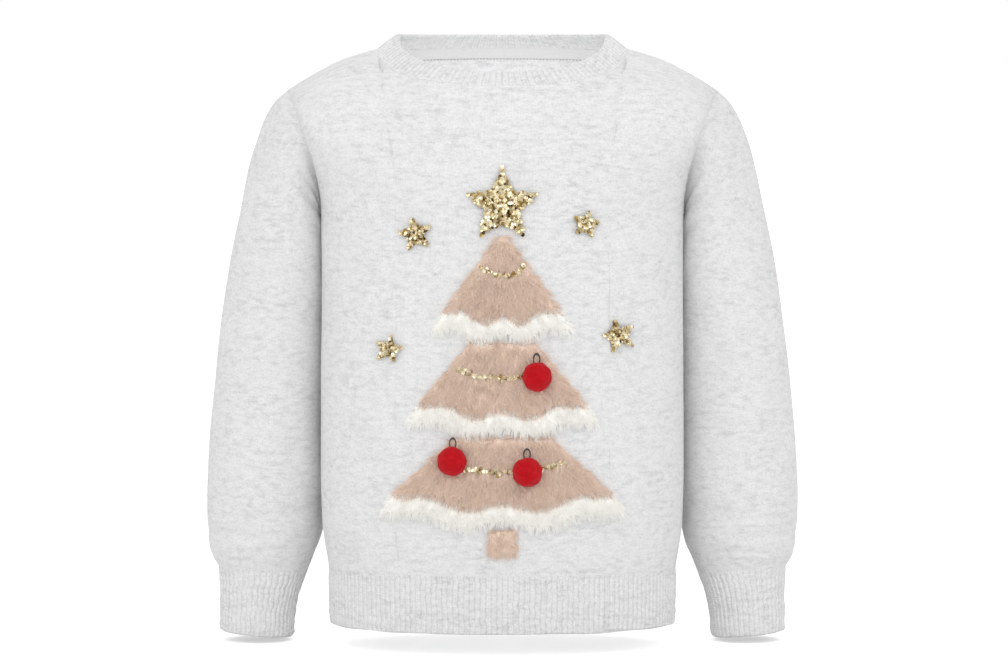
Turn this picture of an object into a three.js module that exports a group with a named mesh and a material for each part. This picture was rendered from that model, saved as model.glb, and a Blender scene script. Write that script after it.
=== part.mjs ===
// A child's knitted Christmas jumper, filled out as it is worn, with nobody in it.
// Lengths are in millimetres. Heights are measured up from the hem, x runs to the viewer's right,
// and y runs from the front to the back, with the side seams at y = 0.
import * as THREE from "three";

// Driving sizes of the whole garment.
const CLOTH = 2.4; // the brushed jersey wall
const RIB_CLOTH = 2.8; // the ribbed wall, over its ribs
const RIB_HEIGHT = 1.0; // from a rib's groove to its crest
const SEAM_GAP = 0.3; // between the pieces that are sewn to each other
const HEM_RIB = 44; // how tall the ribbed hem is
const SECTION_POWER = 2.15; // 2 is an ellipse, more is squarer

const ARMPIT = { x: 137.3, height: 310 };
const SHOULDER = { x: 162.4, y: 8, height: 405.6, bulge: 4 };
const NECK_SEAM = { x: 95, y: 8, height: 436, frontHeight: 411.5, backHeight: 436.5 };
const NECK_RIM = { x: 77.5, y: 6, height: 447.5, frontY: -62, frontHeight: 421, backY: 60, backHeight: 446.5 };
const NECK_POWER = 2.3; // the neck's loops are a little squarer than ovals, seen from the front
const CROWN = { front: 527, back: 572 }; // the shoulder lines' height over the middle of the neck
const ARMHOLE_DEPTH = { front: 42, back: 40 }; // how far the armhole bows forward and back
const ARMHOLE_FLARE = 1.9; // how late above the armpit the armhole runs out to the shoulder
const COLLAR_STAND = 1.4; // how far the collar bows out between its seam and its rim
const COLLAR_INSET = 0.9; // the collar's seam lies inside the panels' faceted neck edge

// The body from the hem to the armpits: half its width, and its depth before and behind the seams.
const BODY = [
  { height: 0, halfWidth: 130.8, front: 79, back: 76 },
  { height: 36, halfWidth: 131.8, front: 80.5, back: 77.5 },
  { height: 47, halfWidth: 132.8, front: 82, back: 79 },
  { height: 62, halfWidth: 135.4, front: 85, back: 82 },
  { height: 80, halfWidth: 137.2, front: 87, back: 84 },
  { height: 140, halfWidth: 138, front: 87.5, back: 84.5 },
  { height: 225, halfWidth: 137.2, front: 87.5, back: 84 },
  { height: 310, halfWidth: 137.3, front: 87, back: 83 },
];

// Rings of the sleeve on the right of the view, from the armhole to the cuff. Each is an oval through
// an outer and an inner point, with its middle and half its depth along y.
const SLEEVE = [
  { outerX: 162.4, outerHeight: 405.6, innerX: 137.3, innerHeight: 310, middleY: 4, halfDepth: 44 },
  { outerX: 172.4, outerHeight: 396.2, innerX: 138.3, innerHeight: 306, middleY: 7, halfDepth: 44 },
  { outerX: 181, outerHeight: 381.5, innerX: 138.4, innerHeight: 300, middleY: 10, halfDepth: 44 },
  { outerX: 187.2, outerHeight: 366, innerX: 137.9, innerHeight: 292, middleY: 13, halfDepth: 44 },
  { outerX: 191.8, outerHeight: 349.5, innerX: 137, innerHeight: 281, middleY: 17, halfDepth: 44 },
  { outerX: 198, outerHeight: 322, innerX: 136, innerHeight: 266, middleY: 22, halfDepth: 45 },
  { outerX: 206, outerHeight: 286, innerX: 135, innerHeight: 246, middleY: 27, halfDepth: 46 },
  { outerX: 213.5, outerHeight: 240, innerX: 134.5, innerHeight: 220, middleY: 32, halfDepth: 47 },
  { outerX: 219.4, outerHeight: 195, innerX: 133.5, innerHeight: 186, middleY: 36, halfDepth: 48 },
  { outerX: 224.2, outerHeight: 149, innerX: 133, innerHeight: 150, middleY: 39, halfDepth: 49 },
  { outerX: 227, outerHeight: 100, innerX: 133, innerHeight: 104, middleY: 40, halfDepth: 49 },
  { outerX: 226.6, outerHeight: 72, innerX: 136, innerHeight: 76, middleY: 38, halfDepth: 45 },
  { outerX: 224.8, outerHeight: 55, innerX: 140, innerHeight: 59, middleY: 35, halfDepth: 40 },
  { outerX: 221.6, outerHeight: 45.5, innerX: 144.5, innerHeight: 48, middleY: 33, halfDepth: 34 },
  { outerX: 218, outerHeight: 39.9, innerX: 149, innerHeight: 37.5, middleY: 32, halfDepth: 30 },
];
const CUFF = [
  { outerX: 217, outerHeight: 39.6, innerX: 150, innerHeight: 37.2, middleY: 32, halfDepth: 29 },
  { outerX: 216, outerHeight: 18, innerX: 157.8, innerHeight: 14.5, middleY: 30, halfDepth: 27 },
  { outerX: 215.4, outerHeight: -7.5, innerX: 162.2, innerHeight: -13, middleY: 29, halfDepth: 26 },
];

// The largest soft folds of the two panels. Depth is outward, tilt is in degrees from level.
const FOLDS = [
  { side: -1, x: 98, height: 318, tilt: 38, length: 46, width: 15, depth: -3 },
  { side: -1, x: -98, height: 322, tilt: -40, length: 42, width: 15, depth: -3 },
  { side: -1, x: 84, height: 70, tilt: 6, length: 52, width: 10, depth: -2.2 },
  { side: -1, x: -78, height: 74, tilt: -8, length: 48, width: 10, depth: -2.2 },
  { side: -1, x: 0, height: 66, tilt: 0, length: 60, width: 11, depth: 1.6 },
  { side: 1, x: 92, height: 300, tilt: 34, length: 50, width: 16, depth: -3.4 },
  { side: 1, x: -96, height: 306, tilt: -36, length: 46, width: 16, depth: -3 },
  { side: 1, x: 60, height: 78, tilt: 7, length: 60, width: 12, depth: -2.6 },
  { side: 1, x: -70, height: 84, tilt: -5, length: 54, width: 12, depth: -2.6 },
];

// How finely each piece is divided.
const NECK_SPANS = 7;
const SHOULDER_SPANS = 5;
const ARMHOLE_SPANS = 10;
const LOWER_HEIGHTS = [HEM_RIB + SEAM_GAP, 54, 66, 84, 120, 180, 245];
// The sleeve's wall is in two lengths: its head, down to the underarm, and the rest.
const SLEEVE_LENGTHS = {
  head: { from: 0, to: 5, spans: 6 },
  arm: { from: 5.012, to: 14, spans: 10 },
};
const HEM_RIBS = 84; // across each panel, about 4 mm apart
const CUFF_RIBS = 44;
const COLLAR_RIBS = 116;

const FRONT = -1;
const BACK = 1;
const UP = new THREE.Vector3(0, 0, 1);
const smooth = (t) => t * t * (3 - 2 * t);
const mix = (a, b, t) => a + (b - a) * t;

// A column of a table at a place between its rows, on a smooth curve through them.
function along(table, key, at, column) {
  let i = 0;
  while (i < table.length - 2 && at > table[i + 1][key]) i += 1;
  const slope = (k) => {
    const before = table[Math.max(k - 1, 0)];
    const after = table[Math.min(k + 1, table.length - 1)];
    return (after[column] - before[column]) / (after[key] - before[key]);
  };
  const [a, b] = [table[i], table[i + 1]];
  const width = b[key] - a[key];
  const t = (at - a[key]) / width;
  const bend = t * t * (3 - 2 * t);
  return (
    mix(a[column], b[column], bend) +
    width * (slope(i) * t * (1 - t) * (1 - t) - slope(i + 1) * t * t * (1 - t))
  );
}

// How far out the body's section stands at a share u of its half width.
const section = (u) => Math.pow(Math.max(0, 1 - Math.pow(Math.abs(u), SECTION_POWER)), 1 / SECTION_POWER);

// How far a panel's surface stands out of its plain form, from the folds.
function foldRelief(side, x, height) {
  let relief = 0;
  for (const f of FOLDS.filter((row) => row.side === side)) {
    const tilt = THREE.MathUtils.degToRad(f.tilt);
    const [dx, dh] = [x - f.x, height - f.height];
    const lengthways = (dx * Math.cos(tilt) + dh * Math.sin(tilt)) / f.length;
    const across = (dh * Math.cos(tilt) - dx * Math.sin(tilt)) / f.width;
    relief += f.depth * Math.exp(-lengthways * lengthways - across * across);
  }
  return relief;
}

// Half the body's width at a height, to the side seam and above it to the armhole.
function halfWidth(height) {
  if (height <= ARMPIT.height) return along(BODY, "height", height, "halfWidth");
  const share = Math.min(1, (height - ARMPIT.height) / (SHOULDER.height - ARMPIT.height));
  return mix(ARMPIT.x, SHOULDER.x, Math.pow(share, ARMHOLE_FLARE));
}

// The shoulder's line, carried on smoothly over the open neck, where it only shapes the cloth below.
function ridgeHeight(side, x) {
  const run = SHOULDER.x - NECK_SEAM.x;
  if (x >= NECK_SEAM.x) {
    const t = (x - NECK_SEAM.x) / run;
    return mix(NECK_SEAM.height, SHOULDER.height, t) + SHOULDER.bulge * Math.sin(Math.PI * t);
  }
  const slope = (SHOULDER.height - NECK_SEAM.height + SHOULDER.bulge * Math.PI) / run;
  const s = x / NECK_SEAM.x;
  const crown = side === FRONT ? CROWN.front : CROWN.back;
  return mix(crown, NECK_SEAM.height, smooth(s)) + slope * NECK_SEAM.x * s * s * (s - 1);
}

// How far round a loop of the neck a share of its half width is, as a share of its drop.
const neckRound = (share) => Math.pow(Math.max(0, 1 - Math.pow(share, NECK_POWER)), 1 / NECK_POWER);

// The top edge of a panel: the neck seam in the middle and the shoulder seam beside it.
function topHeight(side, x) {
  if (x >= NECK_SEAM.x) return ridgeHeight(side, x);
  const middle = side === FRONT ? NECK_SEAM.frontHeight : NECK_SEAM.backHeight;
  return mix(NECK_SEAM.height, middle, neckRound(x / NECK_SEAM.x));
}

// A point of a panel's outer face at a place given by x and a height.
function panelPoint(side, x, height) {
  const share = Math.min(1, Math.abs(x) / halfWidth(height));
  const above = Math.max(0, height - ARMPIT.height);
  const t = Math.min(1, above / (ridgeHeight(side, Math.abs(x)) - ARMPIT.height));
  const lean = 1 - Math.sqrt(1 - t * t);
  const depth = along(BODY, "height", height - above, side === FRONT ? "front" : "back");
  const bow = side === FRONT ? ARMHOLE_DEPTH.front : ARMHOLE_DEPTH.back;
  const armhole = bow * Math.sin(Math.PI * Math.pow(t, 1.6)) * Math.pow(share, 6 - 3 * t);
  const relief = foldRelief(side, x, height) * (1 - lean) * section(share);
  const y = mix(side * depth * section(share), SHOULDER.y, lean) + side * (armhole + relief);
  return new THREE.Vector3(x, y, height);
}

function panelNormal(side, x, height) {
  const step = 1;
  const across = panelPoint(side, x + step, height).sub(panelPoint(side, x - step, height));
  const up = panelPoint(side, x, height + step).sub(panelPoint(side, x, height - step));
  return across.cross(up).multiplyScalar(-side).normalize();
}

// The same surface at a share u of the half width: below the armpits at a height, and above them
// where v runs from the armpit's level to the panel's top edge.
const lowerBody = (side, u, height) => panelPoint(side, u * halfWidth(height), height);

function upperBody(side, u, v) {
  const x = u * mix(ARMPIT.x, SHOULDER.x, Math.pow(v, ARMHOLE_FLARE));
  return panelPoint(side, x, mix(ARMPIT.height, topHeight(side, Math.abs(u) * SHOULDER.x), v));
}

// Which way the cloth faces at the neck seam and at the armhole seam, the same on both sides of a seam.
function neckNormal(point) {
  const outward = new THREE.Vector3(point.x, point.y - NECK_SEAM.y, 0).normalize();
  return outward.multiplyScalar(0.75).add(UP).normalize();
}
const outerPoint = (row) => new THREE.Vector3(row.outerX, row.middleY, row.outerHeight);
const innerPoint = (row) => new THREE.Vector3(row.innerX, row.middleY, row.innerHeight);

function ovalPoint(row, angle) {
  const middle = outerPoint(row).add(innerPoint(row)).multiplyScalar(0.5);
  const reach = outerPoint(row).sub(middle);
  const point = middle.addScaledVector(reach, -Math.cos(angle));
  point.y -= row.halfDepth * Math.sin(angle);
  return point;
}

function ovalNormal(row, angle) {
  const reach = outerPoint(row).sub(innerPoint(row)).multiplyScalar(0.5);
  const normal = reach.multiplyScalar(-Math.cos(angle) / reach.lengthSq());
  normal.y -= Math.sin(angle) / row.halfDepth;
  return normal.normalize();
}

// Turned towards the sleeve at the underarm, where the body's side and the sleeve meet in a corner.
function armholeNormal(angle, share = 1) {
  const normal = ovalNormal(SLEEVE[0], angle);
  normal.x += (share * (1 + Math.cos(angle))) / 2;
  return normal.normalize();
}

// A closed wall between an outer and an inner grid of points, open at its edges or joined round.
function wall(outer, inner, joined) {
  const rows = outer.length;
  const columns = outer[0].length;
  const spans = joined ? columns : columns - 1;
  const corner = (layer, i, j) => layer * rows * columns + i * columns + (j % columns);
  const faces = [];
  const quad = (a, b, c, d) => faces.push(a, b, c, a, c, d);
  for (let j = 0; j < spans; j += 1) {
    for (let i = 0; i < rows - 1; i += 1) {
      quad(corner(0, i, j), corner(0, i, j + 1), corner(0, i + 1, j + 1), corner(0, i + 1, j));
      quad(corner(1, i, j), corner(1, i + 1, j), corner(1, i + 1, j + 1), corner(1, i, j + 1));
    }
    quad(corner(0, 0, j), corner(1, 0, j), corner(1, 0, j + 1), corner(0, 0, j + 1));
    const last = rows - 1;
    quad(corner(0, last, j), corner(0, last, j + 1), corner(1, last, j + 1), corner(1, last, j));
  }
  for (let i = 0; i < rows - 1 && !joined; i += 1) {
    quad(corner(0, i, 0), corner(0, i + 1, 0), corner(1, i + 1, 0), corner(1, i, 0));
    const last = columns - 1;
    quad(corner(0, i, last), corner(1, i, last), corner(1, i + 1, last), corner(0, i + 1, last));
  }
  const points = [...outer.flat(), ...inner.flat()];
  const geometry = new THREE.BufferGeometry().setFromPoints(points);
  geometry.setIndex(facingOut(points, faces));
  geometry.computeVertexNormals();
  return geometry;
}

// The faces of a closed mesh, turned round if they face inwards.
function facingOut(points, faces) {
  let volume = 0;
  for (let i = 0; i < faces.length; i += 3) {
    const [a, b, c] = [points[faces[i]], points[faces[i + 1]], points[faces[i + 2]]];
    volume += a.dot(b.clone().cross(c));
  }
  return volume < 0 ? faces.reverse() : faces;
}

// The normal at each point of a grid, taken from its neighbours. Rows go up and columns go to the
// viewer's right, so a sign of 1 faces a front panel outwards and -1 a back panel.
function gridNormals(grid, joined, sign) {
  const columns = grid[0].length;
  return grid.map((row, i) =>
    row.map((_, j) => {
      const left = joined ? row[(j + columns - 1) % columns] : row[Math.max(j - 1, 0)];
      const right = joined ? row[(j + 1) % columns] : row[Math.min(j + 1, columns - 1)];
      const below = grid[Math.max(i - 1, 0)][j];
      const above = grid[Math.min(i + 1, grid.length - 1)][j];
      return right.clone().sub(left).cross(above.clone().sub(below)).multiplyScalar(sign).normalize();
    }),
  );
}

const moved = (grid, normals, distance) =>
  grid.map((row, i) => row.map((p, j) => p.clone().addScaledVector(normals[i][j], distance)));

function flattened(normal, axis) {
  normal[axis] = 0;
  return normal.normalize();
}

// The shares of the half width at which a panel's columns run: round the neck, then out to the armhole.
function panelColumns() {
  const neckShare = NECK_SEAM.x / SHOULDER.x;
  const neckAngle = Math.asin(neckShare);
  const half = [0];
  for (let i = 1; i <= NECK_SPANS; i += 1) {
    half.push(neckShare * Math.sin((Math.PI / 2) * (i / NECK_SPANS)));
  }
  for (let i = 1; i <= SHOULDER_SPANS; i += 1) {
    half.push(Math.sin(mix(neckAngle, Math.PI / 2, i / SHOULDER_SPANS)));
  }
  return [...half.slice(1).reverse().map((u) => -u), ...half];
}

const armholeStep = (i) => Math.sin((Math.PI / 2) * (i / ARMHOLE_SPANS));

// A panel's outer points and its normals, with the seams' own normals along its edges.
function panelGrid(side) {
  const columns = panelColumns();
  const lower = LOWER_HEIGHTS.map((height) => columns.map((u) => lowerBody(side, u, height)));
  const grid = [...lower];
  for (let i = 0; i <= ARMHOLE_SPANS; i += 1) {
    grid.push(columns.map((u) => upperBody(side, u, armholeStep(i))));
  }
  const normals = gridNormals(grid, false, side === FRONT ? 1 : -1);
  const lastRow = grid.length - 1;
  const neckShare = NECK_SEAM.x / SHOULDER.x;
  columns.forEach((u, j) => {
    flattened(normals[0][j], "z");
    if (Math.abs(u) <= neckShare + 1e-9) normals[lastRow][j] = neckNormal(grid[lastRow][j]);
    else flattened(normals[lastRow][j], "y");
  });
  for (const j of [0, columns.length - 1]) {
    const outward = Math.sign(columns[j]);
    grid.forEach((row, i) => {
      const step = i - LOWER_HEIGHTS.length;
      if (step < 0) normals[i][j] = flattened(normals[i][j], "y");
      else {
        const angle = (Math.PI * step) / ARMHOLE_SPANS;
        normals[i][j] = armholeNormal(side === FRONT ? angle : -angle);
        normals[i][j].x *= outward;
      }
      if (step < 0 || step === ARMHOLE_SPANS) flattened(normals[i][j], "y");
      if (step <= 0) row[j].y += (side * SEAM_GAP) / 2;
    });
  }
  grid[lastRow].forEach((p, j) => {
    if (Math.abs(columns[j]) >= neckShare - 1e-9) p.y += (side * SEAM_GAP) / 2;
  });
  return { grid, normals, columns };
}

function panel(side) {
  const { grid, normals } = panelGrid(side);
  return wall(grid, moved(grid, normals, -CLOTH), false);
}

// Lifts every second column of a grid, so that the outer face stands in ribs over a plain inside.
function ribbed(grid, normals, joined) {
  const inside = moved(grid, normals, -(RIB_CLOTH - RIB_HEIGHT));
  const outside = grid.map((row, i) =>
    row.map((p, j) => p.clone().addScaledVector(normals[i][j], (j % 2) * RIB_HEIGHT)),
  );
  return wall(outside, inside, joined);
}

// The share of the half width for an even step of cloth round the body, at the hem.
function evenShares(side, count) {
  const fine = 2000;
  const ends = [];
  let total = 0;
  let last = lowerBody(side, -1, 0);
  for (let i = 1; i <= fine; i += 1) {
    const u = -Math.cos((Math.PI * i) / fine);
    const next = lowerBody(side, u, 0);
    total += next.distanceTo(last);
    last = next;
    ends.push({ u, total });
  }
  const shares = [-1];
  for (let i = 1; i < count; i += 1) shares.push(ends.find((e) => e.total >= (total * i) / count).u);
  return [...shares, 1];
}

function hem(side) {
  const shares = evenShares(side, 2 * HEM_RIBS);
  const grid = [0, HEM_RIB].map((height) => shares.map((u) => lowerBody(side, u, height)));
  const normals = gridNormals(grid, false, side === FRONT ? 1 : -1);
  normals.forEach((row) => row.forEach((normal) => flattened(normal, "z")));
  for (const j of [0, shares.length - 1]) {
    grid.forEach((row, i) => {
      normals[i][j].set(Math.sign(shares[j]), 0, 0);
      row[j].y += (side * SEAM_GAP) / 2;
    });
  }
  return ribbed(grid, normals, false);
}

// A ring of the sleeve, from the table at a step that may lie between two rows.
function sleeveRow(step) {
  const table = SLEEVE.map((row, i) => ({ ...row, step: i }));
  const row = {};
  for (const column of Object.keys(SLEEVE[0])) row[column] = along(table, "step", step, column);
  return row;
}

// The armhole's own points, from the underarm up the front to the shoulder and down the back.
function armholePoint(i) {
  const side = i <= ARMHOLE_SPANS ? FRONT : BACK;
  const step = i <= ARMHOLE_SPANS ? i : 2 * ARMHOLE_SPANS - i;
  return upperBody(side, 1, armholeStep(step));
}

function sleeve(length) {
  const round = 2 * ARMHOLE_SPANS;
  const away = new THREE.Vector3(0.965, 0, -0.26).multiplyScalar(SEAM_GAP * 1.4);
  const fadeSteps = 6;
  const outer = [];
  const inner = [];
  for (let k = 0; k <= length.spans; k += 1) {
    const step = mix(length.from, length.to, k / length.spans);
    const row = sleeveRow(step);
    const fade = 1 - smooth(Math.min(1, step / fadeSteps));
    const ring = [];
    const inside = [];
    for (let i = 0; i < round; i += 1) {
      const angle = (2 * Math.PI * i) / round;
      const strayed = armholePoint(i).sub(ovalPoint(SLEEVE[0], angle)).add(away);
      const point = ovalPoint(row, angle).addScaledVector(strayed, fade);
      const normal = ovalNormal(row, angle);
      normal.x += (fade * fade * (1 + Math.cos(angle))) / 2;
      ring.push(point);
      inside.push(point.clone().addScaledVector(step ? normal.normalize() : armholeNormal(angle), -CLOTH));
    }
    outer.push(ring);
    inner.push(inside);
  }
  return wall(outer, inner, true);
}

function cuff() {
  const round = 2 * CUFF_RIBS;
  const angles = Array.from({ length: round }, (_, i) => (2 * Math.PI * i) / round);
  const grid = CUFF.map((row) => angles.map((angle) => ovalPoint(row, angle)));
  const normals = CUFF.map((row) => angles.map((angle) => ovalNormal(row, angle)));
  return ribbed(grid, normals, true);
}

// A point of the collar: angle 0 is the front middle, and across runs from its seam to its rim.
function collarPoint(angle, across) {
  const side = Math.cos(angle) > 0 ? FRONT : BACK;
  const share = Math.abs(Math.sin(angle));
  const seamX = NECK_SEAM.x * Math.sin(angle);
  const seam = panelPoint(side, seamX, topHeight(side, Math.abs(seamX)));
  const normal = neckNormal(seam);
  seam.add(new THREE.Vector3(-normal.x, -normal.y, normal.z).multiplyScalar(COLLAR_INSET));
  const [rimY, rimHeight] =
    side === FRONT ? [NECK_RIM.frontY, NECK_RIM.frontHeight] : [NECK_RIM.backY, NECK_RIM.backHeight];
  const rim = new THREE.Vector3(
    NECK_RIM.x * Math.sin(angle),
    mix(NECK_RIM.y, rimY, Math.abs(Math.cos(angle))),
    mix(NECK_RIM.height, rimHeight, neckRound(share)),
  );
  return seam.lerp(rim, across).addScaledVector(normal, COLLAR_STAND * Math.sin(Math.PI * across));
}

function collar() {
  const round = 2 * COLLAR_RIBS;
  const angles = Array.from({ length: round }, (_, i) => (2 * Math.PI * i) / round);
  const grid = [0, 0.5, 1].map((across) => angles.map((angle) => collarPoint(angle, across)));
  const normals = gridNormals(grid, true, 1);
  grid[0].forEach((p, j) => {
    normals[0][j] = neckNormal(p);
  });
  return ribbed(grid, normals, true);
}

// A soft patch on a panel: place gives x and a height for shares across and down it. A lift and a
// thickness below nothing lay it on the panel's inside.
function patch(side, columns, rows, place, lift, thick) {
  const outer = [];
  const inner = [];
  for (let i = 0; i <= rows; i += 1) {
    const line = [];
    const under = [];
    for (let j = 0; j <= columns; j += 1) {
      const [x, height] = place(mix(-1, 1, j / columns), i / rows);
      const normal = panelNormal(side, x, height);
      const edge = i === 0 || i === rows || j === 0 || j === columns;
      const point = panelPoint(side, x, height).addScaledVector(normal, lift);
      under.push(point);
      line.push(point.clone().addScaledVector(normal, thick * (edge ? 0.55 : 1)));
    }
    outer.push(line);
    inner.push(under);
  }
  return wall(outer, inner, false);
}

// The narrow plain tape that covers the collar's seam inside the back neck.
const TAPE = { drop: 2.4, width: 8.4, thick: 1, lift: 1.1, half: 84 };

function neckTape() {
  const place = (share, down) => {
    const x = share * TAPE.half;
    return [x, topHeight(BACK, Math.abs(x)) - TAPE.drop - TAPE.width * down];
  };
  return patch(BACK, 22, 2, place, -(CLOTH + TAPE.lift), -TAPE.thick);
}

// The ornament on the chest: a plain fir in three plush tiers with pale edges, a star and felt balls.
const PLUSH_LIFT = 0.6; // off the front panel's true surface, clear of its facets
const PLUSH_THICK = 2.6;
const PLUSH_EDGE = 13; // how deep a tier's pale edge is
const SCALLOP = 3;
const TIER_COLUMNS = 24; // the same for a tier and its edge, so that their facets meet
const TIERS = [
  { name: "fir_top", top: 299, bottom: 246, topHalf: 3, bottomHalf: 43, dip: 9 },
  { name: "fir_middle", top: 219.5, bottom: 176, topHalf: 24, bottomHalf: 62, dip: 10 },
  { name: "fir_low", top: 148.5, bottom: 108, topHalf: 36, bottomHalf: 82, dip: 11 },
];
const TRUNK = { top: 79.5, bottom: 62, half: 10 };
const STARS = [
  { name: "sequin_star", x: 0, height: 322, radius: 28, turn: 0 },
  { name: "sequin_star_upper_left", x: -64, height: 300, radius: 13, turn: 12 },
  { name: "sequin_star_upper_right", x: 62, height: 308, radius: 11, turn: -14 },
  { name: "sequin_star_lower_left", x: -84, height: 214, radius: 11, turn: -10 },
  { name: "sequin_star_lower_right", x: 86, height: 224, radius: 13, turn: 16 },
];
const STAR_WAIST = 0.46; // the inner corners' share of a star's radius
const STAR_THICK = 1.2;
const BALLS = [
  { name: "felt_ball_left", x: -36, height: 132, radius: 11 },
  { name: "felt_ball_right", x: 25, height: 195, radius: 11 },
  { name: "felt_ball_middle", x: 18, height: 124, radius: 11 },
];
const BALL_SQUASH = 0.62; // the felt balls are pressed towards the cloth

// The lower line of a tier, which dips in the middle and has soft scallops.
const scallops = (tier, share) =>
  -tier.dip * (1 - share * share) + SCALLOP * Math.cos(share * Math.PI * 3);

function tierPatch(tier) {
  const place = (share, down) => [
    share * mix(tier.topHalf, tier.bottomHalf, down),
    mix(tier.top, tier.bottom + scallops(tier, share), down),
  ];
  return patch(FRONT, TIER_COLUMNS, 3, place, PLUSH_LIFT, PLUSH_THICK);
}

function edgePatch(tier) {
  const flare = PLUSH_EDGE * 0.6;
  const place = (share, down) => [
    share * (tier.bottomHalf + flare * down),
    tier.bottom + scallops(tier, share) - 2 * SEAM_GAP - down * PLUSH_EDGE,
  ];
  return patch(FRONT, TIER_COLUMNS, 2, place, PLUSH_LIFT, PLUSH_THICK);
}

function trunkPatch() {
  const place = (share, down) => [share * TRUNK.half, mix(TRUNK.top, TRUNK.bottom, down)];
  return patch(FRONT, 2, 2, place, PLUSH_LIFT, PLUSH_THICK);
}

function starPatch(star) {
  const outline = [];
  for (let i = 0; i < 10; i += 1) {
    const angle = Math.PI / 2 + THREE.MathUtils.degToRad(star.turn) + (Math.PI * i) / 5;
    const reach = star.radius * (i % 2 ? STAR_WAIST : 1);
    outline.push(new THREE.Vector2(reach * Math.cos(angle), reach * Math.sin(angle)));
  }
  const shape = new THREE.ExtrudeGeometry(new THREE.Shape(outline), { depth: STAR_THICK, bevelEnabled: false });
  const corners = shape.getAttribute("position");
  for (let i = 0; i < corners.count; i += 1) {
    const [x, height] = [star.x + corners.getX(i), star.height + corners.getY(i)];
    const point = panelPoint(FRONT, x, height);
    point.addScaledVector(panelNormal(FRONT, x, height), PLUSH_LIFT + corners.getZ(i));
    corners.setXYZ(i, point.x, point.y, point.z);
  }
  return shape;
}

function ballMesh(ball) {
  const geometry = new THREE.SphereGeometry(ball.radius, 14, 8);
  geometry.rotateX(Math.PI / 2);
  geometry.scale(1, 1, BALL_SQUASH);
  const mesh = new THREE.Mesh(geometry, FINISH.felt);
  const normal = panelNormal(FRONT, ball.x, ball.height);
  const rise = PLUSH_LIFT + PLUSH_THICK + SEAM_GAP + ball.radius * BALL_SQUASH;
  mesh.position.copy(panelPoint(FRONT, ball.x, ball.height).addScaledVector(normal, rise));
  mesh.quaternion.setFromUnitVectors(UP, normal);
  return mesh;
}

const finish = (color, roughness, metalness = 0) =>
  new THREE.MeshStandardMaterial({ color, roughness, metalness, side: THREE.DoubleSide });
const FINISH = {
  jersey: finish(0xdedede, 0.95),
  rib: finish(0xdcdcdd, 0.95),
  tape: finish(0xd9d9d8, 0.9),
  taupe: finish(0xcbae9f, 0.98),
  cream: finish(0xf3f0e8, 0.98),
  gold: finish(0xcdb46a, 0.25, 0.9),
  felt: finish(0xc4101b, 0.95),
};

// Everything is set down with its origin where the shoulders carry it, between the two neck points.
const jumper = new THREE.Group();
jumper.position.z = -NECK_SEAM.height;

function add(name, geometry, material) {
  const mesh = new THREE.Mesh(geometry, material);
  mesh.name = name;
  jumper.add(mesh);
  return mesh;
}

// The other side's copy of a piece, mirrored across the middle of the body.
function mirrored(geometry) {
  const copy = geometry.clone().scale(-1, 1, 1);
  copy.setIndex([...copy.index.array].reverse());
  return copy;
}

add("front", panel(FRONT), FINISH.jersey);
add("back", panel(BACK), FINISH.jersey);
add("hem_front", hem(FRONT), FINISH.rib);
add("hem_back", hem(BACK), FINISH.rib);
const headGeometry = sleeve(SLEEVE_LENGTHS.head);
add("sleeve_head_left", headGeometry, FINISH.jersey);
add("sleeve_head_right", mirrored(headGeometry), FINISH.jersey);
const sleeveGeometry = sleeve(SLEEVE_LENGTHS.arm);
add("sleeve_left", sleeveGeometry, FINISH.jersey);
add("sleeve_right", mirrored(sleeveGeometry), FINISH.jersey);
const cuffGeometry = cuff();
add("cuff_left", cuffGeometry, FINISH.rib);
add("cuff_right", mirrored(cuffGeometry), FINISH.rib);
add("collar", collar(), FINISH.rib);
add("neck_tape", neckTape(), FINISH.tape);

for (const tier of TIERS) {
  add(tier.name, tierPatch(tier), FINISH.taupe);
  add(tier.name + "_edge", edgePatch(tier), FINISH.cream);
}
add("fir_trunk", trunkPatch(), FINISH.taupe);
for (const star of STARS) add(star.name, starPatch(star), FINISH.gold);
for (const ball of BALLS) {
  const mesh = ballMesh(ball);
  mesh.name = ball.name;
  jumper.add(mesh);
}

export default jumper;
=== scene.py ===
import math
import bpy
import numpy as np
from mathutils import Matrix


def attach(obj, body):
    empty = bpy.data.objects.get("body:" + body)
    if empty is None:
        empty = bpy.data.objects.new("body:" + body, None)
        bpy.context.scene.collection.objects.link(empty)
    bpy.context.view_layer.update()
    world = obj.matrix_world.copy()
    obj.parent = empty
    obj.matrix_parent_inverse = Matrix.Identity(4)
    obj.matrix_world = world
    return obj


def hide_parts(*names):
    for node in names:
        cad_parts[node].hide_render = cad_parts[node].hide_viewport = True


# A child's brushed knitted jumper, filled out as worn, with a plush fir on its chest.
# Lengths are in millimetres up to the point where a mesh is made, and heights are above the hem.
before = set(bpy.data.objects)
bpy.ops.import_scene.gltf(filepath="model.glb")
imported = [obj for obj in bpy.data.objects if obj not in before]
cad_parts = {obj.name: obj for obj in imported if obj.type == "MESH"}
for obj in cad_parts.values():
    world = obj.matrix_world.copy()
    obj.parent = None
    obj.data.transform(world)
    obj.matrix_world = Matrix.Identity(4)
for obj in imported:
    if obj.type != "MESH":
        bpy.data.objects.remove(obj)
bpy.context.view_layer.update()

FRONT, BACK = -1, 1
MM = 0.001


def table(names, rows):
    return dict(zip(names.split(), np.array(rows, float).T))


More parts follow.
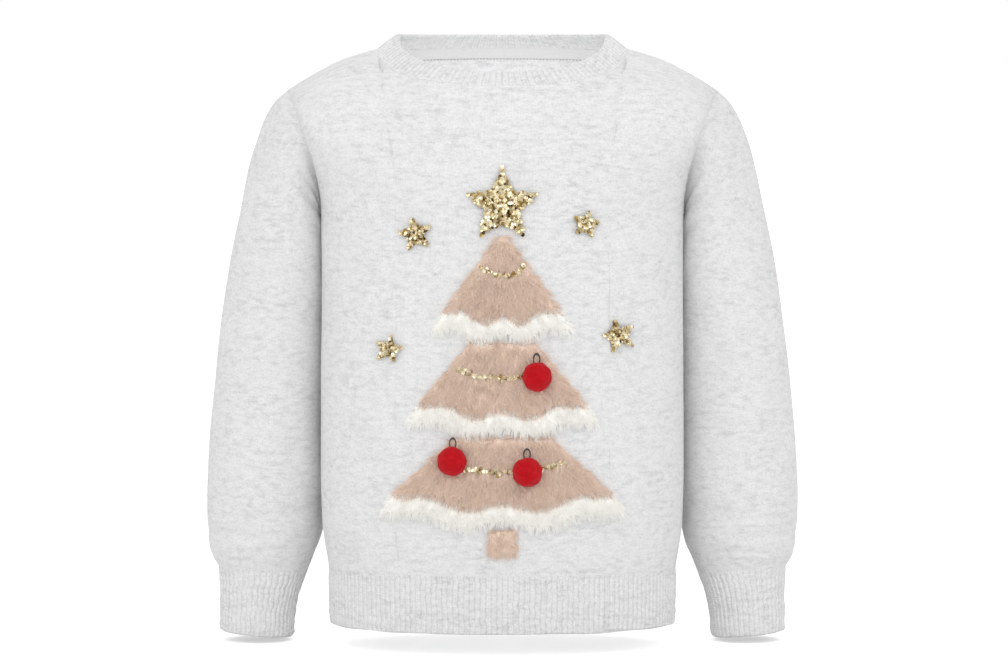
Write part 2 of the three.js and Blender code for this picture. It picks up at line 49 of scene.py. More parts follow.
# The whole garment's sizes
CLOTH = 2.4
RIB_CLOTH = 2.8
RIB_HEIGHT = 1.0
HEM_RIB = 44.0
SECTION_POWER = 2.15
NECK_POWER = 2.3
ARMPIT = {"x": 137.3, "height": 310.0}
SHOULDER = {"x": 162.4, "y": 8.0, "height": 405.6, "bulge": 4.0}
NECK_SEAM = {"x": 95.0, "y": 8.0, "height": 436.0, FRONT: 411.5, BACK: 436.5}
NECK_RIM = {"x": 77.5, "y": 6.0, "height": 447.5, FRONT: (-62.0, 421.0), BACK: (60.0, 446.5)}
CROWN = {FRONT: 527.0, BACK: 572.0}
ARMHOLE_DEPTH = {FRONT: 42.0, BACK: 40.0}
ARMHOLE_FLARE = 1.9
COLLAR_STAND = 0.3
ORIGIN_HEIGHT = NECK_SEAM["height"]

BODY = table("height half_width front back", [
    (0, 130.8, 79, 76), (36, 131.8, 80.5, 77.5), (47, 132.8, 82, 79), (62, 135.4, 85, 82),
    (80, 137.2, 87, 84), (140, 138, 87.5, 84.5), (225, 137.2, 87.5, 84), (310, 137.3, 87, 83),
])
SLEEVE = table("step outer_x outer_height inner_x inner_height middle_y half_depth", [
    (0, 162.4, 405.6, 137.3, 310, 4, 44), (1, 172.4, 396.2, 136.8, 306, 7, 44),
    (2, 181, 381.5, 135.8, 300, 10, 44), (3, 187.2, 366, 134.9, 292, 13, 44),
    (4, 191.8, 349.5, 134.0, 281, 17, 44), (5, 198, 322, 133.6, 266, 22, 45),
    (6, 206, 286, 132.8, 246, 27, 46), (7, 213.5, 240, 132.8, 220, 32, 47),
    (8, 219.4, 195, 132.8, 186, 36, 48), (9, 224.2, 149, 133, 150, 39, 49),
    (10, 227, 100, 133, 104, 40, 49), (11, 226.6, 72, 136, 76, 38, 45),
    (12, 224.8, 55, 140, 59, 35, 40), (13, 221.6, 45.5, 144.5, 48, 33, 34),
    (14, 218, 39.9, 149, 37.5, 32, 30),
])
CUFF = table("step outer_x outer_height inner_x inner_height middle_y half_depth", [
    (0, 217, 39.6, 150, 37.2, 32, 29), (1, 216, 18, 157.8, 14.5, 30, 27),
    (2, 216.4, -9.5, 161.6, -14.5, 29, 26),
])
FOLDS = table("side x height tilt length width depth", [
    (-1, 98, 318, 38, 46, 15, -3), (-1, -98, 322, -40, 42, 15, -3),
    (-1, 84, 70, 6, 52, 10, -2.2), (-1, -78, 74, -8, 48, 10, -2.2), (-1, 0, 66, 0, 60, 11, 1.6),
    (1, 92, 300, 34, 50, 16, -3.4), (1, -96, 306, -36, 46, 16, -3),
    (1, 60, 78, 7, 60, 12, -2.6), (1, -70, 84, -5, 54, 12, -2.6),
])
# Small soft creases that only show close to: on the panels, and along and round the sleeves
CREASES = table("side x height tilt length width depth", [
    (-1, 112, 92, 14, 30, 6, -1.1), (-1, -108, 98, -16, 34, 6, -1.2), (-1, 118, 60, 4, 26, 5, -1.0),
    (-1, -116, 62, -4, 26, 5, -1.0), (-1, 116, 286, 30, 34, 7, -1.3), (-1, -114, 290, -32, 32, 7, -1.3),
    (-1, 40, 58, -3, 34, 5, -0.8), (-1, -44, 57, 4, 32, 5, -0.8), (1, 40, 180, 5, 60, 14, -1.4),
    (1, -40, 240, -6, 70, 16, -1.2), (1, 110, 100, 10, 40, 8, -1.2), (1, -112, 110, -12, 40, 8, -1.2),
])
SLEEVE_CREASES = table("step angle slant length width depth", [
    (1.6, 0.5, 0.25, 1.0, 0.30, -1.6), (2.6, 0.9, 0.30, 0.9, 0.28, -1.6), (3.8, 1.1, 0.20, 0.9, 0.32, -1.2),
    (6.2, 1.2, -0.15, 1.1, 0.40, -1.4), (8.2, 1.9, 0.12, 1.0, 0.40, -1.2), (10.6, 1.0, 0.05, 0.9, 0.26, -1.5),
    (11.4, 2.2, -0.06, 0.9, 0.24, -1.6), (12.2, 1.4, 0.06, 0.7, 0.22, -1.3),
    (12.4, 4.4, 0.0, 0.9, 0.24, -1.5),
    (11.0, 5.3, 0.1, 0.8, 0.3, -1.2), (7.0, 4.8, -0.2, 1.0, 0.4, -1.4), (2.8, 5.2, -0.3, 0.9, 0.3, -1.5),
])

# The ornament on the chest
PLUSH_LIFT = 0.6
PLUSH_THICK = 2.6
PLUSH_EDGE = 13.0
SCALLOP = 3.0
TIERS = {
    "fir_top": {"top": 299, "bottom": 246, "top_half": 3, "bottom_half": 43, "dip": 9},
    "fir_middle": {"top": 219.5, "bottom": 176, "top_half": 24, "bottom_half": 62, "dip": 10},
    "fir_low": {"top": 148.5, "bottom": 108, "top_half": 36, "bottom_half": 82, "dip": 11},
}
TRUNK = {"top": 79.5, "bottom": 62, "half": 10}
STARS = {
    "sequin_star": {"x": 0, "height": 322, "radius": 28, "turn": 0},
    "sequin_star_upper_left": {"x": -64, "height": 300, "radius": 13, "turn": 12},
    "sequin_star_upper_right": {"x": 62, "height": 308, "radius": 11, "turn": -14},
    "sequin_star_lower_left": {"x": -84, "height": 214, "radius": 11, "turn": -10},
    "sequin_star_lower_right": {"x": 86, "height": 224, "radius": 13, "turn": 16},
}
STAR_WAIST = 0.46
STAR_THICK = 1.2
STAR_BASE_SHARE = 0.94
BALLS = {
    "felt_ball_left": {"x": -36, "height": 132, "radius": 11},
    "felt_ball_right": {"x": 25, "height": 195, "radius": 11},
    "felt_ball_middle": {"x": 18, "height": 124, "radius": 11},
}
BALL_SQUASH = 0.62
TAPE = {"drop": 0.2, "width": 8.2, "thick": 1.0, "half": 84.0, "cut": 10.2}


# Camera, floor and light
def look_from(place, target):
    direction = np.array(target) - np.array(place)
    flat = math.hypot(direction[0], direction[1])
    return (math.atan2(flat, -direction[2]), 0, math.atan2(-direction[0], direction[1]))


CAMERA_DISTANCE = 4000.0
CAMERA_PITCH = math.radians(4.2)
CAMERA_TARGET = (1.3, 0.0, 218.5)
FIELD_WIDTH = 766.0
SENSOR = 36.0
camera_data = bpy.data.cameras.new("photo_camera")
camera_data.sensor_width = SENSOR
camera_data.lens = SENSOR * CAMERA_DISTANCE / FIELD_WIDTH
camera_data.clip_end = 50
camera = bpy.data.objects.new("photo_camera", camera_data)
bpy.context.scene.collection.objects.link(camera)
camera_place = (
    CAMERA_TARGET[0],
    -CAMERA_DISTANCE * math.cos(CAMERA_PITCH),
    CAMERA_TARGET[2] + CAMERA_DISTANCE * math.sin(CAMERA_PITCH),
)


def placed(point):
    return (point[0] * MM, point[1] * MM, (point[2] - ORIGIN_HEIGHT) * MM)


camera.location = placed(camera_place)
camera.rotation_euler = look_from(camera_place, CAMERA_TARGET)
bpy.context.scene.camera = camera
bpy.context.scene.view_settings.view_transform = "Standard"


def lamp(name, kind, place, watts):
    light = bpy.data.lights.new(name, kind)
    light.energy = watts
    holder = bpy.data.objects.new(name, light)
    bpy.context.scene.collection.objects.link(holder)
    holder.location = placed(place)
    holder.visible_camera = False
    return holder, light


def softbox(name, place, target, size, watts):
    holder, light = lamp(name, "AREA", place, watts)
    light.shape = "RECTANGLE"
    light.size = light.size_y = size
    holder.rotation_euler = look_from(place, target)


CHEST = (0, 0, 260)
KEY_LIGHT = {"aside": 1050, "in_front": 2600, "height": 1500, "size": 1.3, "watts": 11.0}
INSIDE_LAMP = {"place": (0, -20, 330), "size": 0.04, "watts": 0.235}
for name, aside in (("key_left", -KEY_LIGHT["aside"]), ("key_right", KEY_LIGHT["aside"])):
    place = (aside, -KEY_LIGHT["in_front"], KEY_LIGHT["height"])
    softbox(name, place, CHEST, KEY_LIGHT["size"], KEY_LIGHT["watts"])
inside_lamp = lamp("inside", "POINT", INSIDE_LAMP["place"], INSIDE_LAMP["watts"])[1]
inside_lamp.shadow_soft_size = INSIDE_LAMP["size"]


def seen_or_lit(tree, seen, lit):
    """One value for what the camera sees directly, another for the light that reaches the piece."""
    path = tree.nodes.new("ShaderNodeLightPath")
    chosen = tree.nodes.new("ShaderNodeMix")
    chosen.data_type = "FLOAT"
    tree.links.new(path.outputs["Is Camera Ray"], chosen.inputs["Factor"])
    for socket, value in ((chosen.inputs["A"], lit), (chosen.inputs["B"], seen)):
        feed(tree, socket, value)
    return chosen.outputs["Result"]


def feed(tree, socket, value):
    if isinstance(value, bpy.types.NodeSocket):
        tree.links.new(value, socket)
    else:
        socket.default_value = value


# The sky's strength, from level with the garment to overhead
SKY = {"From Min": -0.1, "From Max": 0.9, "To Min": 0.69, "To Max": 0.98}


def studio_world():
    """White to look at, and brighter overhead than level with the garment to light it."""
    world = bpy.data.worlds.new("studio")
    bpy.context.scene.world = world
    world.use_nodes = True
    tree = world.node_tree
    where = tree.nodes.new("ShaderNodeTexCoord")
    parts = tree.nodes.new("ShaderNodeSeparateXYZ")
    tree.links.new(where.outputs["Generated"], parts.inputs[0])
    ramp = tree.nodes.new("ShaderNodeMapRange")
    ramp.interpolation_type = "SMOOTHSTEP"
    tree.links.new(parts.outputs["Z"], ramp.inputs["Value"])
    for label, value in SKY.items():
        ramp.inputs[label].default_value = value
    shade = tree.nodes["Background"]
    tree.links.new(seen_or_lit(tree, 1.0, ramp.outputs["Result"]), shade.inputs["Strength"])
    shade.inputs["Color"].default_value = (1, 1, 1, 1)


studio_world()


# The garment's surface
def along(rows, key, at, column):
    keys, values = rows[key], rows[column]
    last = len(keys) - 1
    at = np.asarray(at, float)
    i = np.clip(np.searchsorted(keys, at, side="left") - 1, 0, last - 1)
    after = np.minimum(np.arange(last + 1) + 1, last)
    before = np.maximum(np.arange(last + 1) - 1, 0)
    slope = (values[after] - values[before]) / (keys[after] - keys[before])
    width = keys[i + 1] - keys[i]
    t = (at - keys[i]) / width
    bend = t * t * (3 - 2 * t)
    curve = slope[i] * t * (1 - t) ** 2 - slope[i + 1] * t * t * (1 - t)
    return values[i] + (values[i + 1] - values[i]) * bend + width * curve


def mix(a, b, t):
    return a + (b - a) * t


def section(u):
    return np.maximum(0, 1 - np.abs(u) ** SECTION_POWER) ** (1 / SECTION_POWER)


def relief(rows, side, x, height):
    total = np.zeros(np.broadcast(x, height).shape)
    for i in np.flatnonzero(rows["side"] == side):
        tilt = math.radians(rows["tilt"][i])
        dx, dh = x - rows["x"][i], height - rows["height"][i]
        lengthways = (dx * math.cos(tilt) + dh * math.sin(tilt)) / rows["length"][i]
        across = (dh * math.cos(tilt) - dx * math.sin(tilt)) / rows["width"][i]
        total = total + rows["depth"][i] * np.exp(-lengthways**2 - across**2)
    return total


def half_width(height):
    height = np.asarray(height, float)
    share = np.clip((height - ARMPIT["height"]) / (SHOULDER["height"] - ARMPIT["height"]), 0, 1)
    above = mix(ARMPIT["x"], SHOULDER["x"], share**ARMHOLE_FLARE)
    return np.where(height <= ARMPIT["height"], along(BODY, "height", height, "half_width"), above)


def ridge_height(side, x):
    run = SHOULDER["x"] - NECK_SEAM["x"]
    t = (x - NECK_SEAM["x"]) / run
    outer = mix(NECK_SEAM["height"], SHOULDER["height"], t) + SHOULDER["bulge"] * np.sin(np.pi * t)
    slope = (SHOULDER["height"] - NECK_SEAM["height"] + SHOULDER["bulge"] * np.pi) / run
    s = x / NECK_SEAM["x"]
    inner = mix(CROWN[side], NECK_SEAM["height"], s * s * (3 - 2 * s))
    inner = inner + slope * NECK_SEAM["x"] * s * s * (s - 1)
    return np.where(x >= NECK_SEAM["x"], outer, inner)


def neck_round(share):
    return np.maximum(0, 1 - np.abs(share) ** NECK_POWER) ** (1 / NECK_POWER)


def top_height(side, x):
    neck = mix(NECK_SEAM["height"], NECK_SEAM[side], neck_round(np.minimum(x / NECK_SEAM["x"], 1)))
    return np.where(x >= NECK_SEAM["x"], ridge_height(side, x), neck)


def panel_point(side, x, height, creases=True):
    x, height = np.broadcast_arrays(np.asarray(x, float), np.asarray(height, float))
    share = np.minimum(1, np.abs(x) / half_width(height))
    above = np.maximum(0, height - ARMPIT["height"])
    t = np.minimum(1, above / (ridge_height(side, np.abs(x)) - ARMPIT["height"]))
    lean = 1 - np.sqrt(1 - t * t)
    depth = along(BODY, "height", height - above, "front" if side == FRONT else "back")
    armhole = ARMHOLE_DEPTH[side] * np.sin(np.pi * t**1.6) * share ** (6 - 3 * t)
    folds = relief(FOLDS, side, x, height)
    if creases:
        folds = folds + relief(CREASES, side, x, height)
    folds = folds * (1 - lean) * section(share)
    y = mix(side * depth * section(share), SHOULDER["y"], lean) + side * (armhole + folds)
    return np.stack([x, y, height], -1)


def panel_normal(side, x, height, creases=True):
    step = 0.8
    across = panel_point(side, x + step, height, creases) - panel_point(side, x - step, height, creases)
    up = panel_point(side, x, height + step, creases) - panel_point(side, x, height - step, creases)
    return unit(-side * np.cross(across, up))


def unit(vectors):
    return vectors / (np.linalg.norm(vectors, axis=-1, keepdims=True) + 1e-12)


NECK_LEAN = 0.75


def neck_normal(point):
    outward = NECK_LEAN * unit(np.stack([point[..., 0], point[..., 1] - NECK_SEAM["y"]], -1))
    return unit(np.stack([outward[..., 0], outward[..., 1], np.ones(outward.shape[:-1])], -1))


def oval_point(row, angle):
    out, inn = np.cos(angle), np.sin(angle)
    middle_x, reach_x = (row["outer_x"] + row["inner_x"]) / 2, (row["outer_x"] - row["inner_x"]) / 2
    middle_h = (row["outer_height"] + row["inner_height"]) / 2
    reach_h = (row["outer_height"] - row["inner_height"]) / 2
    return np.stack([
        middle_x - reach_x * out,
        row["middle_y"] - row["half_depth"] * inn,
        middle_h - reach_h * out,
    ], -1)


def oval_normal(row, angle):
    reach_x = (row["outer_x"] - row["inner_x"]) / 2
    reach_h = (row["outer_height"] - row["inner_height"]) / 2
    share = -np.cos(angle) / (reach_x**2 + reach_h**2)
    return unit(np.stack([reach_x * share, -np.sin(angle) / row["half_depth"], reach_h * share], -1))


def row_at(rows, step):
    return {name: along(rows, "step", step, name) for name in rows if name != "step"}


SLOWEST_WAVE, FASTEST_WAVE = 1, 9


def gently(shape, rng, waves, size):
    """Soft unevenness over a grid, as a sum of a few slow waves."""
    v, u = np.meshgrid(np.linspace(0, 1, shape[0]), np.linspace(0, 1, shape[1]), indexing="ij")
    total = np.zeros(shape)
    for _ in range(waves):
        across, up = rng.integers(SLOWEST_WAVE, FASTEST_WAVE), rng.uniform(SLOWEST_WAVE, FASTEST_WAVE)
        total += rng.normal() * np.cos(2 * np.pi * (across * u + up * v + rng.uniform()))
    return total * size / math.sqrt(waves)


# Meshes from grids
RIM_ANGLE = math.radians(70)


def grid_normals(points, joined, sign):
    if joined:
        across = np.roll(points, -1, 1) - np.roll(points, 1, 1)
    else:
        across = np.gradient(points, axis=1)
    return unit(sign * np.cross(across, np.gradient(points, axis=0)))


def turned_out(normals, outward):
    return normals if np.mean(np.einsum("ijk,ijk->ij", normals, outward)) >= 0 else -normals


def wall_faces(rows, columns, joined):
    """Quads of a closed wall: an outer and an inner grid, and the rims between them."""
    spans = columns if joined else columns - 1
    i, j = np.meshgrid(np.arange(rows - 1), np.arange(spans), indexing="ij")
    k = (j + 1) % columns

    def corner(layer, a, b):
        return layer * rows * columns + a * columns + b

    outer = np.stack([corner(0, i, j), corner(0, i, k), corner(0, i + 1, k), corner(0, i + 1, j)], -1)
    inner = np.stack([corner(1, i, j), corner(1, i + 1, j), corner(1, i + 1, k), corner(1, i, k)], -1)
    j, last = np.arange(spans), rows - 1
    k = (j + 1) % columns
    low = np.stack([corner(0, 0, j), corner(1, 0, j), corner(1, 0, k), corner(0, 0, k)], -1)
    high = np.stack([corner(0, last, j), corner(0, last, k), corner(1, last, k), corner(1, last, j)], -1)
    faces = [outer.reshape(-1, 4), inner.reshape(-1, 4), low, high]
    if not joined:
        i, side = np.arange(rows - 1), columns - 1
        faces.append(np.stack([
            corner(0, i, 0), corner(0, i + 1, 0), corner(1, i + 1, 0), corner(1, i, 0),
        ], -1))
        faces.append(np.stack([
            corner(0, i, side), corner(1, i, side), corner(1, i + 1, side), corner(0, i + 1, side),
        ], -1))
    return np.concatenate(faces)


def in_metres(points):
    return ((points - [0, 0, ORIGIN_HEIGHT]) * MM).astype(np.float32)


def vertices_of(mesh):
    points = np.empty(len(mesh.vertices) * 3, np.float32)
    mesh.vertices.foreach_get("co", points)
    return points.reshape(-1, 3)


def mesh_object(name, points, faces, uv, materials, smooth=True):
    """A mesh in the part's own place from points in millimetres, facing outwards if it is closed."""
    points = np.asarray(points, float).reshape(-1, 3)
    sides = faces.shape[1]
    a, b, c = (points[faces[:, k]] for k in range(3))
    volume = np.einsum("ij,ij->", a, np.cross(b, c))
    if sides == 4:
        volume += np.einsum("ij,ij->", a, np.cross(c, points[faces[:, 3]]))
    if volume < 0:
        faces = faces[:, ::-1]
    mesh = bpy.data.meshes.new(name)
    mesh.vertices.add(len(points))
    mesh.vertices.foreach_set("co", in_metres(points).ravel())
    mesh.loops.add(faces.size)
    mesh.loops.foreach_set("vertex_index", faces.astype(np.int32).ravel())
    mesh.polygons.add(len(faces))
    mesh.polygons.foreach_set("loop_start", np.arange(0, faces.size, sides, dtype=np.int32))
    mesh.polygons.foreach_set("loop_total", np.full(len(faces), sides, np.int32))
    layer = mesh.uv_layers.new(name="knit")
    corners = (np.asarray(uv, float).reshape(-1, 2) * MM)[faces.ravel()]
    layer.data.foreach_set("uv", corners.astype(np.float32).ravel())
    for material in materials:
        mesh.materials.append(material)
    mesh.update(calc_edges=True)
    mesh.validate()
    mesh.polygons.foreach_set("use_smooth", np.full(len(mesh.polygons), smooth))
    if smooth:
        mesh.set_sharp_from_angle(angle=RIM_ANGLE)
    piece = bpy.data.objects.new(name, mesh)
    bpy.context.scene.collection.objects.link(piece)
    return piece


def wall_object(name, outer, inner, uv, joined, material):
    rows, columns = outer.shape[:2]
    points = np.concatenate([outer.reshape(-1, 3), inner.reshape(-1, 3)])
    both = np.concatenate([uv.reshape(-1, 2), uv.reshape(-1, 2)])
    return mesh_object(name, points, wall_faces(rows, columns, joined), both, [material])


def lengths(points, axis):
    steps = np.linalg.norm(np.diff(points, axis=axis), axis=-1)
    start = np.zeros_like(np.take(steps, [0], axis=axis))
    return np.concatenate([start, np.cumsum(steps, axis=axis)], axis=axis)


# Materials
def node_group(name, inputs, outputs):
    tree = bpy.data.node_groups.new(name, "ShaderNodeTree")
    for label, kind, value in inputs:
        socket = tree.interface.new_socket(name=label, in_out="INPUT", socket_type=kind)
        if value is not None:
            socket.default_value = value
    for label, kind in outputs:
        tree.interface.new_socket(name=label, in_out="OUTPUT", socket_type=kind)
    return tree, tree.nodes.new("NodeGroupInput"), tree.nodes.new("NodeGroupOutput")


def sum_node(tree, operation, *values):
    node = tree.nodes.new("ShaderNodeMath")
    node.operation = operation
    for socket, value in zip(node.inputs, values):
        feed(tree, socket, value)
    return node.outputs[0]


def ranged(tree, value, low, high, to_low=0.0, to_high=1.0):
    node = tree.nodes.new("ShaderNodeMapRange")
    for socket, given in zip(node.inputs, (value, low, high, to_low, to_high)):
        feed(tree, socket, given)
    return node.outputs[0]


def noise(tree, vector, scale, detail=2.0, rough=0.5):
    node = tree.nodes.new("ShaderNodeTexNoise")
    feed(tree, node.inputs["Vector"], vector)
    feed(tree, node.inputs["Scale"], scale)
    node.inputs["Detail"].default_value = detail
    node.inputs["Roughness"].default_value = rough
    return node.outputs["Fac"]


def mixed(tree, share, first, second, blend="MIX"):
    node = tree.nodes.new("ShaderNodeMix")
    node.data_type = "RGBA"
    node.blend_type = blend
    feed(tree, node.inputs["Factor"], share)
    feed(tree, node.inputs["A"], first)
    feed(tree, node.inputs["B"], second)
    return node.outputs["Result"]


def stretched(tree, vector, across, up, shift=0.0):
    """A flat pattern's place in units of its own grain, across and up the cloth, in metres."""
    parts = tree.nodes.new("ShaderNodeSeparateXYZ")
    feed(tree, parts.inputs[0], vector)
    joined = tree.nodes.new("ShaderNodeCombineXYZ")
    tree.links.new(sum_node(tree, "DIVIDE", parts.outputs["X"], across), joined.inputs["X"])
    tree.links.new(sum_node(tree, "DIVIDE", parts.outputs["Y"], up), joined.inputs["Y"])
    joined.inputs["Z"].default_value = shift
    return joined.outputs[0]


# Grains of the melange yarn in metres, and where each begins and ends in its noise
SPECK_SIZE = (0.0019, 0.0014)
BLOTCH_SIZE = (0.038, 0.018)
SHORT_STREAK = {"length": 0.45, "height": 0.8, "weight": 0.45}
SPECK_WEIGHT = 0.55
STREAK_RANGE = (0.42, 0.80)
SHORT_RANGE = (0.46, 0.84)
SPECK_RANGE = (0.4, 0.8)
BLOTCH_RANGE = (0.32, 0.68, 0.25, 1.0)


def melange_group():
    """Grey and white fibres carded together: streaks along the courses and a fine mottle."""
    tree, given, out = node_group("melange_yarn", [
        ("Place", "NodeSocketVector", None), ("Pale", "NodeSocketColor", (0.8, 0.8, 0.8, 1)),
        ("Grey", "NodeSocketColor", (0.5, 0.5, 0.5, 1)), ("Streak Length", "NodeSocketFloat", 0.012),
        ("Streak Height", "NodeSocketFloat", 0.0022), ("Amount", "NodeSocketFloat", 1.0),
    ], [("Color", "NodeSocketColor"), ("Mask", "NodeSocketFloat")])
    place = given.outputs["Place"]
    length, height = given.outputs["Streak Length"], given.outputs["Streak Height"]
    long_streaks = noise(tree, stretched(tree, place, length, height), 1.0, 2.0, 0.5)
    short_length = sum_node(tree, "MULTIPLY", length, SHORT_STREAK["length"])
    short_height = sum_node(tree, "MULTIPLY", height, SHORT_STREAK["height"])
    short_streaks = noise(tree, stretched(tree, place, short_length, short_height, 7.3), 1.0, 2.0, 0.55)
    specks = noise(tree, stretched(tree, place, *SPECK_SIZE, 5.9), 1.0, 1.0, 0.5)
    blotches = noise(tree, stretched(tree, place, *BLOTCH_SIZE, 3.1), 1.0, 2.0, 0.5)
    streak_mask = ranged(tree, long_streaks, *STREAK_RANGE)
    short_mask = ranged(tree, short_streaks, *SHORT_RANGE)
    speck_mask = ranged(tree, specks, *SPECK_RANGE)
    blotch_mask = ranged(tree, blotches, *BLOTCH_RANGE)
    total = sum_node(tree, "MULTIPLY", streak_mask, blotch_mask)
    total = sum_node(tree, "ADD", total, sum_node(tree, "MULTIPLY", short_mask, SHORT_STREAK["weight"]))
    total = sum_node(tree, "ADD", total, sum_node(tree, "MULTIPLY", speck_mask, SPECK_WEIGHT))
    total = sum_node(tree, "MULTIPLY", total, given.outputs["Amount"])
    total = sum_node(tree, "MINIMUM", total, 1.0)
    colour = mixed(tree, total, given.outputs["Pale"], given.outputs["Grey"])
    tree.links.new(colour, out.inputs["Color"])
    tree.links.new(total, out.inputs["Mask"])
    return tree


# A stitch's legs in shares of its wale, and how dark the painted shade is on the lines between and along the
# ribs and in the gaps between stitches
LEG_PLACE = 0.24
LEG_WIDTH = 0.26
LEG_SLANT = 1.3
LEG_ROUNDNESS = 0.7
ROW_DIP = 0.45
FLUFF_SIZE = (0.0011, 0.0011)
GROOVE_PAINTED_SHADE, SPLIT_PAINTED_SHADE, GAP_PAINTED_SHADE = 0.35, 0.4, 0.25


def stitch_group():
    """Rows of knitted stitches: two slanting legs in every wale, one on top of the next, with painted shade
    in the grooves and gaps between them.
    """
    tree, given, out = node_group("knitted_stitches", [
        ("Place", "NodeSocketVector", None), ("Wale", "NodeSocketFloat", 0.002),
        ("Course", "NodeSocketFloat", 0.0016), ("Fluff", "NodeSocketFloat", 0.5),
    ], [("Height", "NodeSocketFloat"), ("Painted Shade", "NodeSocketFloat")])
    place = given.outputs["Place"]
    scaled = tree.nodes.new("ShaderNodeSeparateXYZ")
    tree.links.new(stretched(tree, place, given.outputs["Wale"], given.outputs["Course"]), scaled.inputs[0])
    whole = sum_node(tree, "FRACT", scaled.outputs["X"])
    from_middle = sum_node(tree, "ABSOLUTE", sum_node(tree, "SUBTRACT", whole, 0.5))
    leg = sum_node(tree, "ABSOLUTE", sum_node(tree, "SUBTRACT", from_middle, LEG_PLACE))
    leg = ranged(tree, leg, 0.0, LEG_WIDTH, 1.0, 0.0)
    slant = sum_node(tree, "MULTIPLY", from_middle, LEG_SLANT)
    row = sum_node(tree, "ADD", scaled.outputs["Y"], slant)
    row = sum_node(tree, "COSINE", sum_node(tree, "MULTIPLY", row, 2 * math.pi))
    row = ranged(tree, row, -1.0, 1.0, ROW_DIP, 1.0)
    stitch = sum_node(tree, "MULTIPLY", sum_node(tree, "POWER", leg, LEG_ROUNDNESS), row)
    fluff = noise(tree, stretched(tree, place, *FLUFF_SIZE, 1.7), 1.0, 4.0, 0.7)
    lifted = sum_node(tree, "MULTIPLY", fluff, given.outputs["Fluff"])
    tree.links.new(sum_node(tree, "ADD", stitch, lifted), out.inputs["Height"])
    # Painted shade: the grooves between wales, the split down each wale's middle and the low gaps between
    # stitches are darkened in the colour
    groove = sum_node(tree, "COSINE", sum_node(tree, "MULTIPLY", scaled.outputs["X"], 2 * math.pi))
    split = sum_node(tree, "COSINE", sum_node(tree, "MULTIPLY", scaled.outputs["X"], 4 * math.pi))
    lines = sum_node(tree, "ADD", ranged(tree, groove, -1.0, 1.0, 0.0, GROOVE_PAINTED_SHADE),
                     ranged(tree, split, -1.0, 1.0, 0.0, SPLIT_PAINTED_SHADE))
    painted_shade = sum_node(tree, "ADD", lines, ranged(tree, stitch, 0.0, 1.0, GAP_PAINTED_SHADE, 0.0))
    tree.links.new(painted_shade, out.inputs["Painted Shade"])
    return tree


MELANGE = melange_group()
STITCHES = stitch_group()


def new_material(name):
    material = bpy.data.materials.new(name)
    material.use_nodes = True
    tree = material.node_tree
    shader = tree.nodes["Principled BSDF"]
    place = tree.nodes.new("ShaderNodeUVMap")
    place.uv_map = "knit"
    return material, tree, shader, place.outputs["UV"]


def set_values(shader, **values):
    for label, value in values.items():
        shader.inputs[label.replace("_", " ")].default_value = value


def raise_surface(tree, shader, height, strength, distance):
    raised = tree.nodes.new("ShaderNodeBump")
    raised.inputs["Strength"].default_value = strength
    raised.inputs["Distance"].default_value = distance
    tree.links.new(height, raised.inputs["Height"])
    tree.links.new(raised.outputs["Normal"], shader.inputs["Normal"])


def placed_group(tree, group, **values):
    node = tree.nodes.new("ShaderNodeGroup")
    node.node_tree = group
    for label, value in values.items():
        feed(tree, node.inputs[label.replace("_", " ")], value)
    return node.outputs


STITCH_RELIEF = 0.0009


def knit_material(name, pale, grey, wale, course, streak, amount, bump, fluff, painted_shade_share):
    material, tree, shader, place = new_material(name)
    yarn = placed_group(tree, MELANGE, Place=place, Pale=pale, Grey=grey,
                        Streak_Length=streak[0], Streak_Height=streak[1], Amount=amount)
    stitches = placed_group(tree, STITCHES, Place=place, Wale=wale, Course=course, Fluff=fluff)
    # The stitches' painted shade darkens the yarn's colour in the grooves and gaps
    shadowed = ranged(tree, stitches["Painted Shade"], 0.0, 1.0, 1.0, 1.0 - painted_shade_share)
    toned = tree.nodes.new("ShaderNodeHueSaturation")
    tree.links.new(yarn["Color"], toned.inputs["Color"])
    tree.links.new(shadowed, toned.inputs["Value"])
    tree.links.new(toned.outputs["Color"], shader.inputs["Base Color"])
    rough = ranged(tree, yarn["Mask"], 0.0, 1.0, 0.96, 0.88)
    tree.links.new(rough, shader.inputs["Roughness"])
    raise_surface(tree, shader, stitches["Height"], bump, STITCH_RELIEF)
    set_values(shader, Sheen_Weight=0.25, Sheen_Roughness=0.6, Specular_IOR_Level=0.2)
    return material


PALE = (0.865, 0.865, 0.865, 1)
GREY = (0.53, 0.535, 0.55, 1)
# Painted light: the ribs' pale is lighter than the jersey's, though it is the same yarn, to offset the shade
# that falls on the ribbed pieces
RIB_PALE_PAINTED_LIGHT = (0.915, 0.915, 0.915, 1)
RIB_PITCH = 4.04
JERSEY_STREAK = (0.0095, 0.0038)
JERSEY = knit_material(
    "brushed_jersey", PALE, GREY, wale=0.002, course=0.0016, streak=JERSEY_STREAK, amount=0.64,
    bump=0.35, fluff=1.1, painted_shade_share=0.05,
)
RIB = knit_material(
    "ribbed_knit", RIB_PALE_PAINTED_LIGHT, GREY, wale=RIB_PITCH * MM, course=0.0018, streak=(0.007, 0.0034), amount=0.6,
    bump=0.5, fluff=0.9, painted_shade_share=0.16,
)


def fibre_material(name, pale, grey, streak, amount, sheen=0.3):
    material, tree, shader, place = new_material(name)
    yarn = placed_group(tree, MELANGE, Place=place, Pale=pale, Grey=grey,
                        Streak_Length=streak[0], Streak_Height=streak[1], Amount=amount)
    tree.links.new(yarn["Color"], shader.inputs["Base Color"])
    tree.links.new(ranged(tree, yarn["Mask"], 0, 1, 0.85, 0.75), shader.inputs["Roughness"])
    set_values(shader, Sheen_Weight=sheen, Specular_IOR_Level=0.2)
    return material


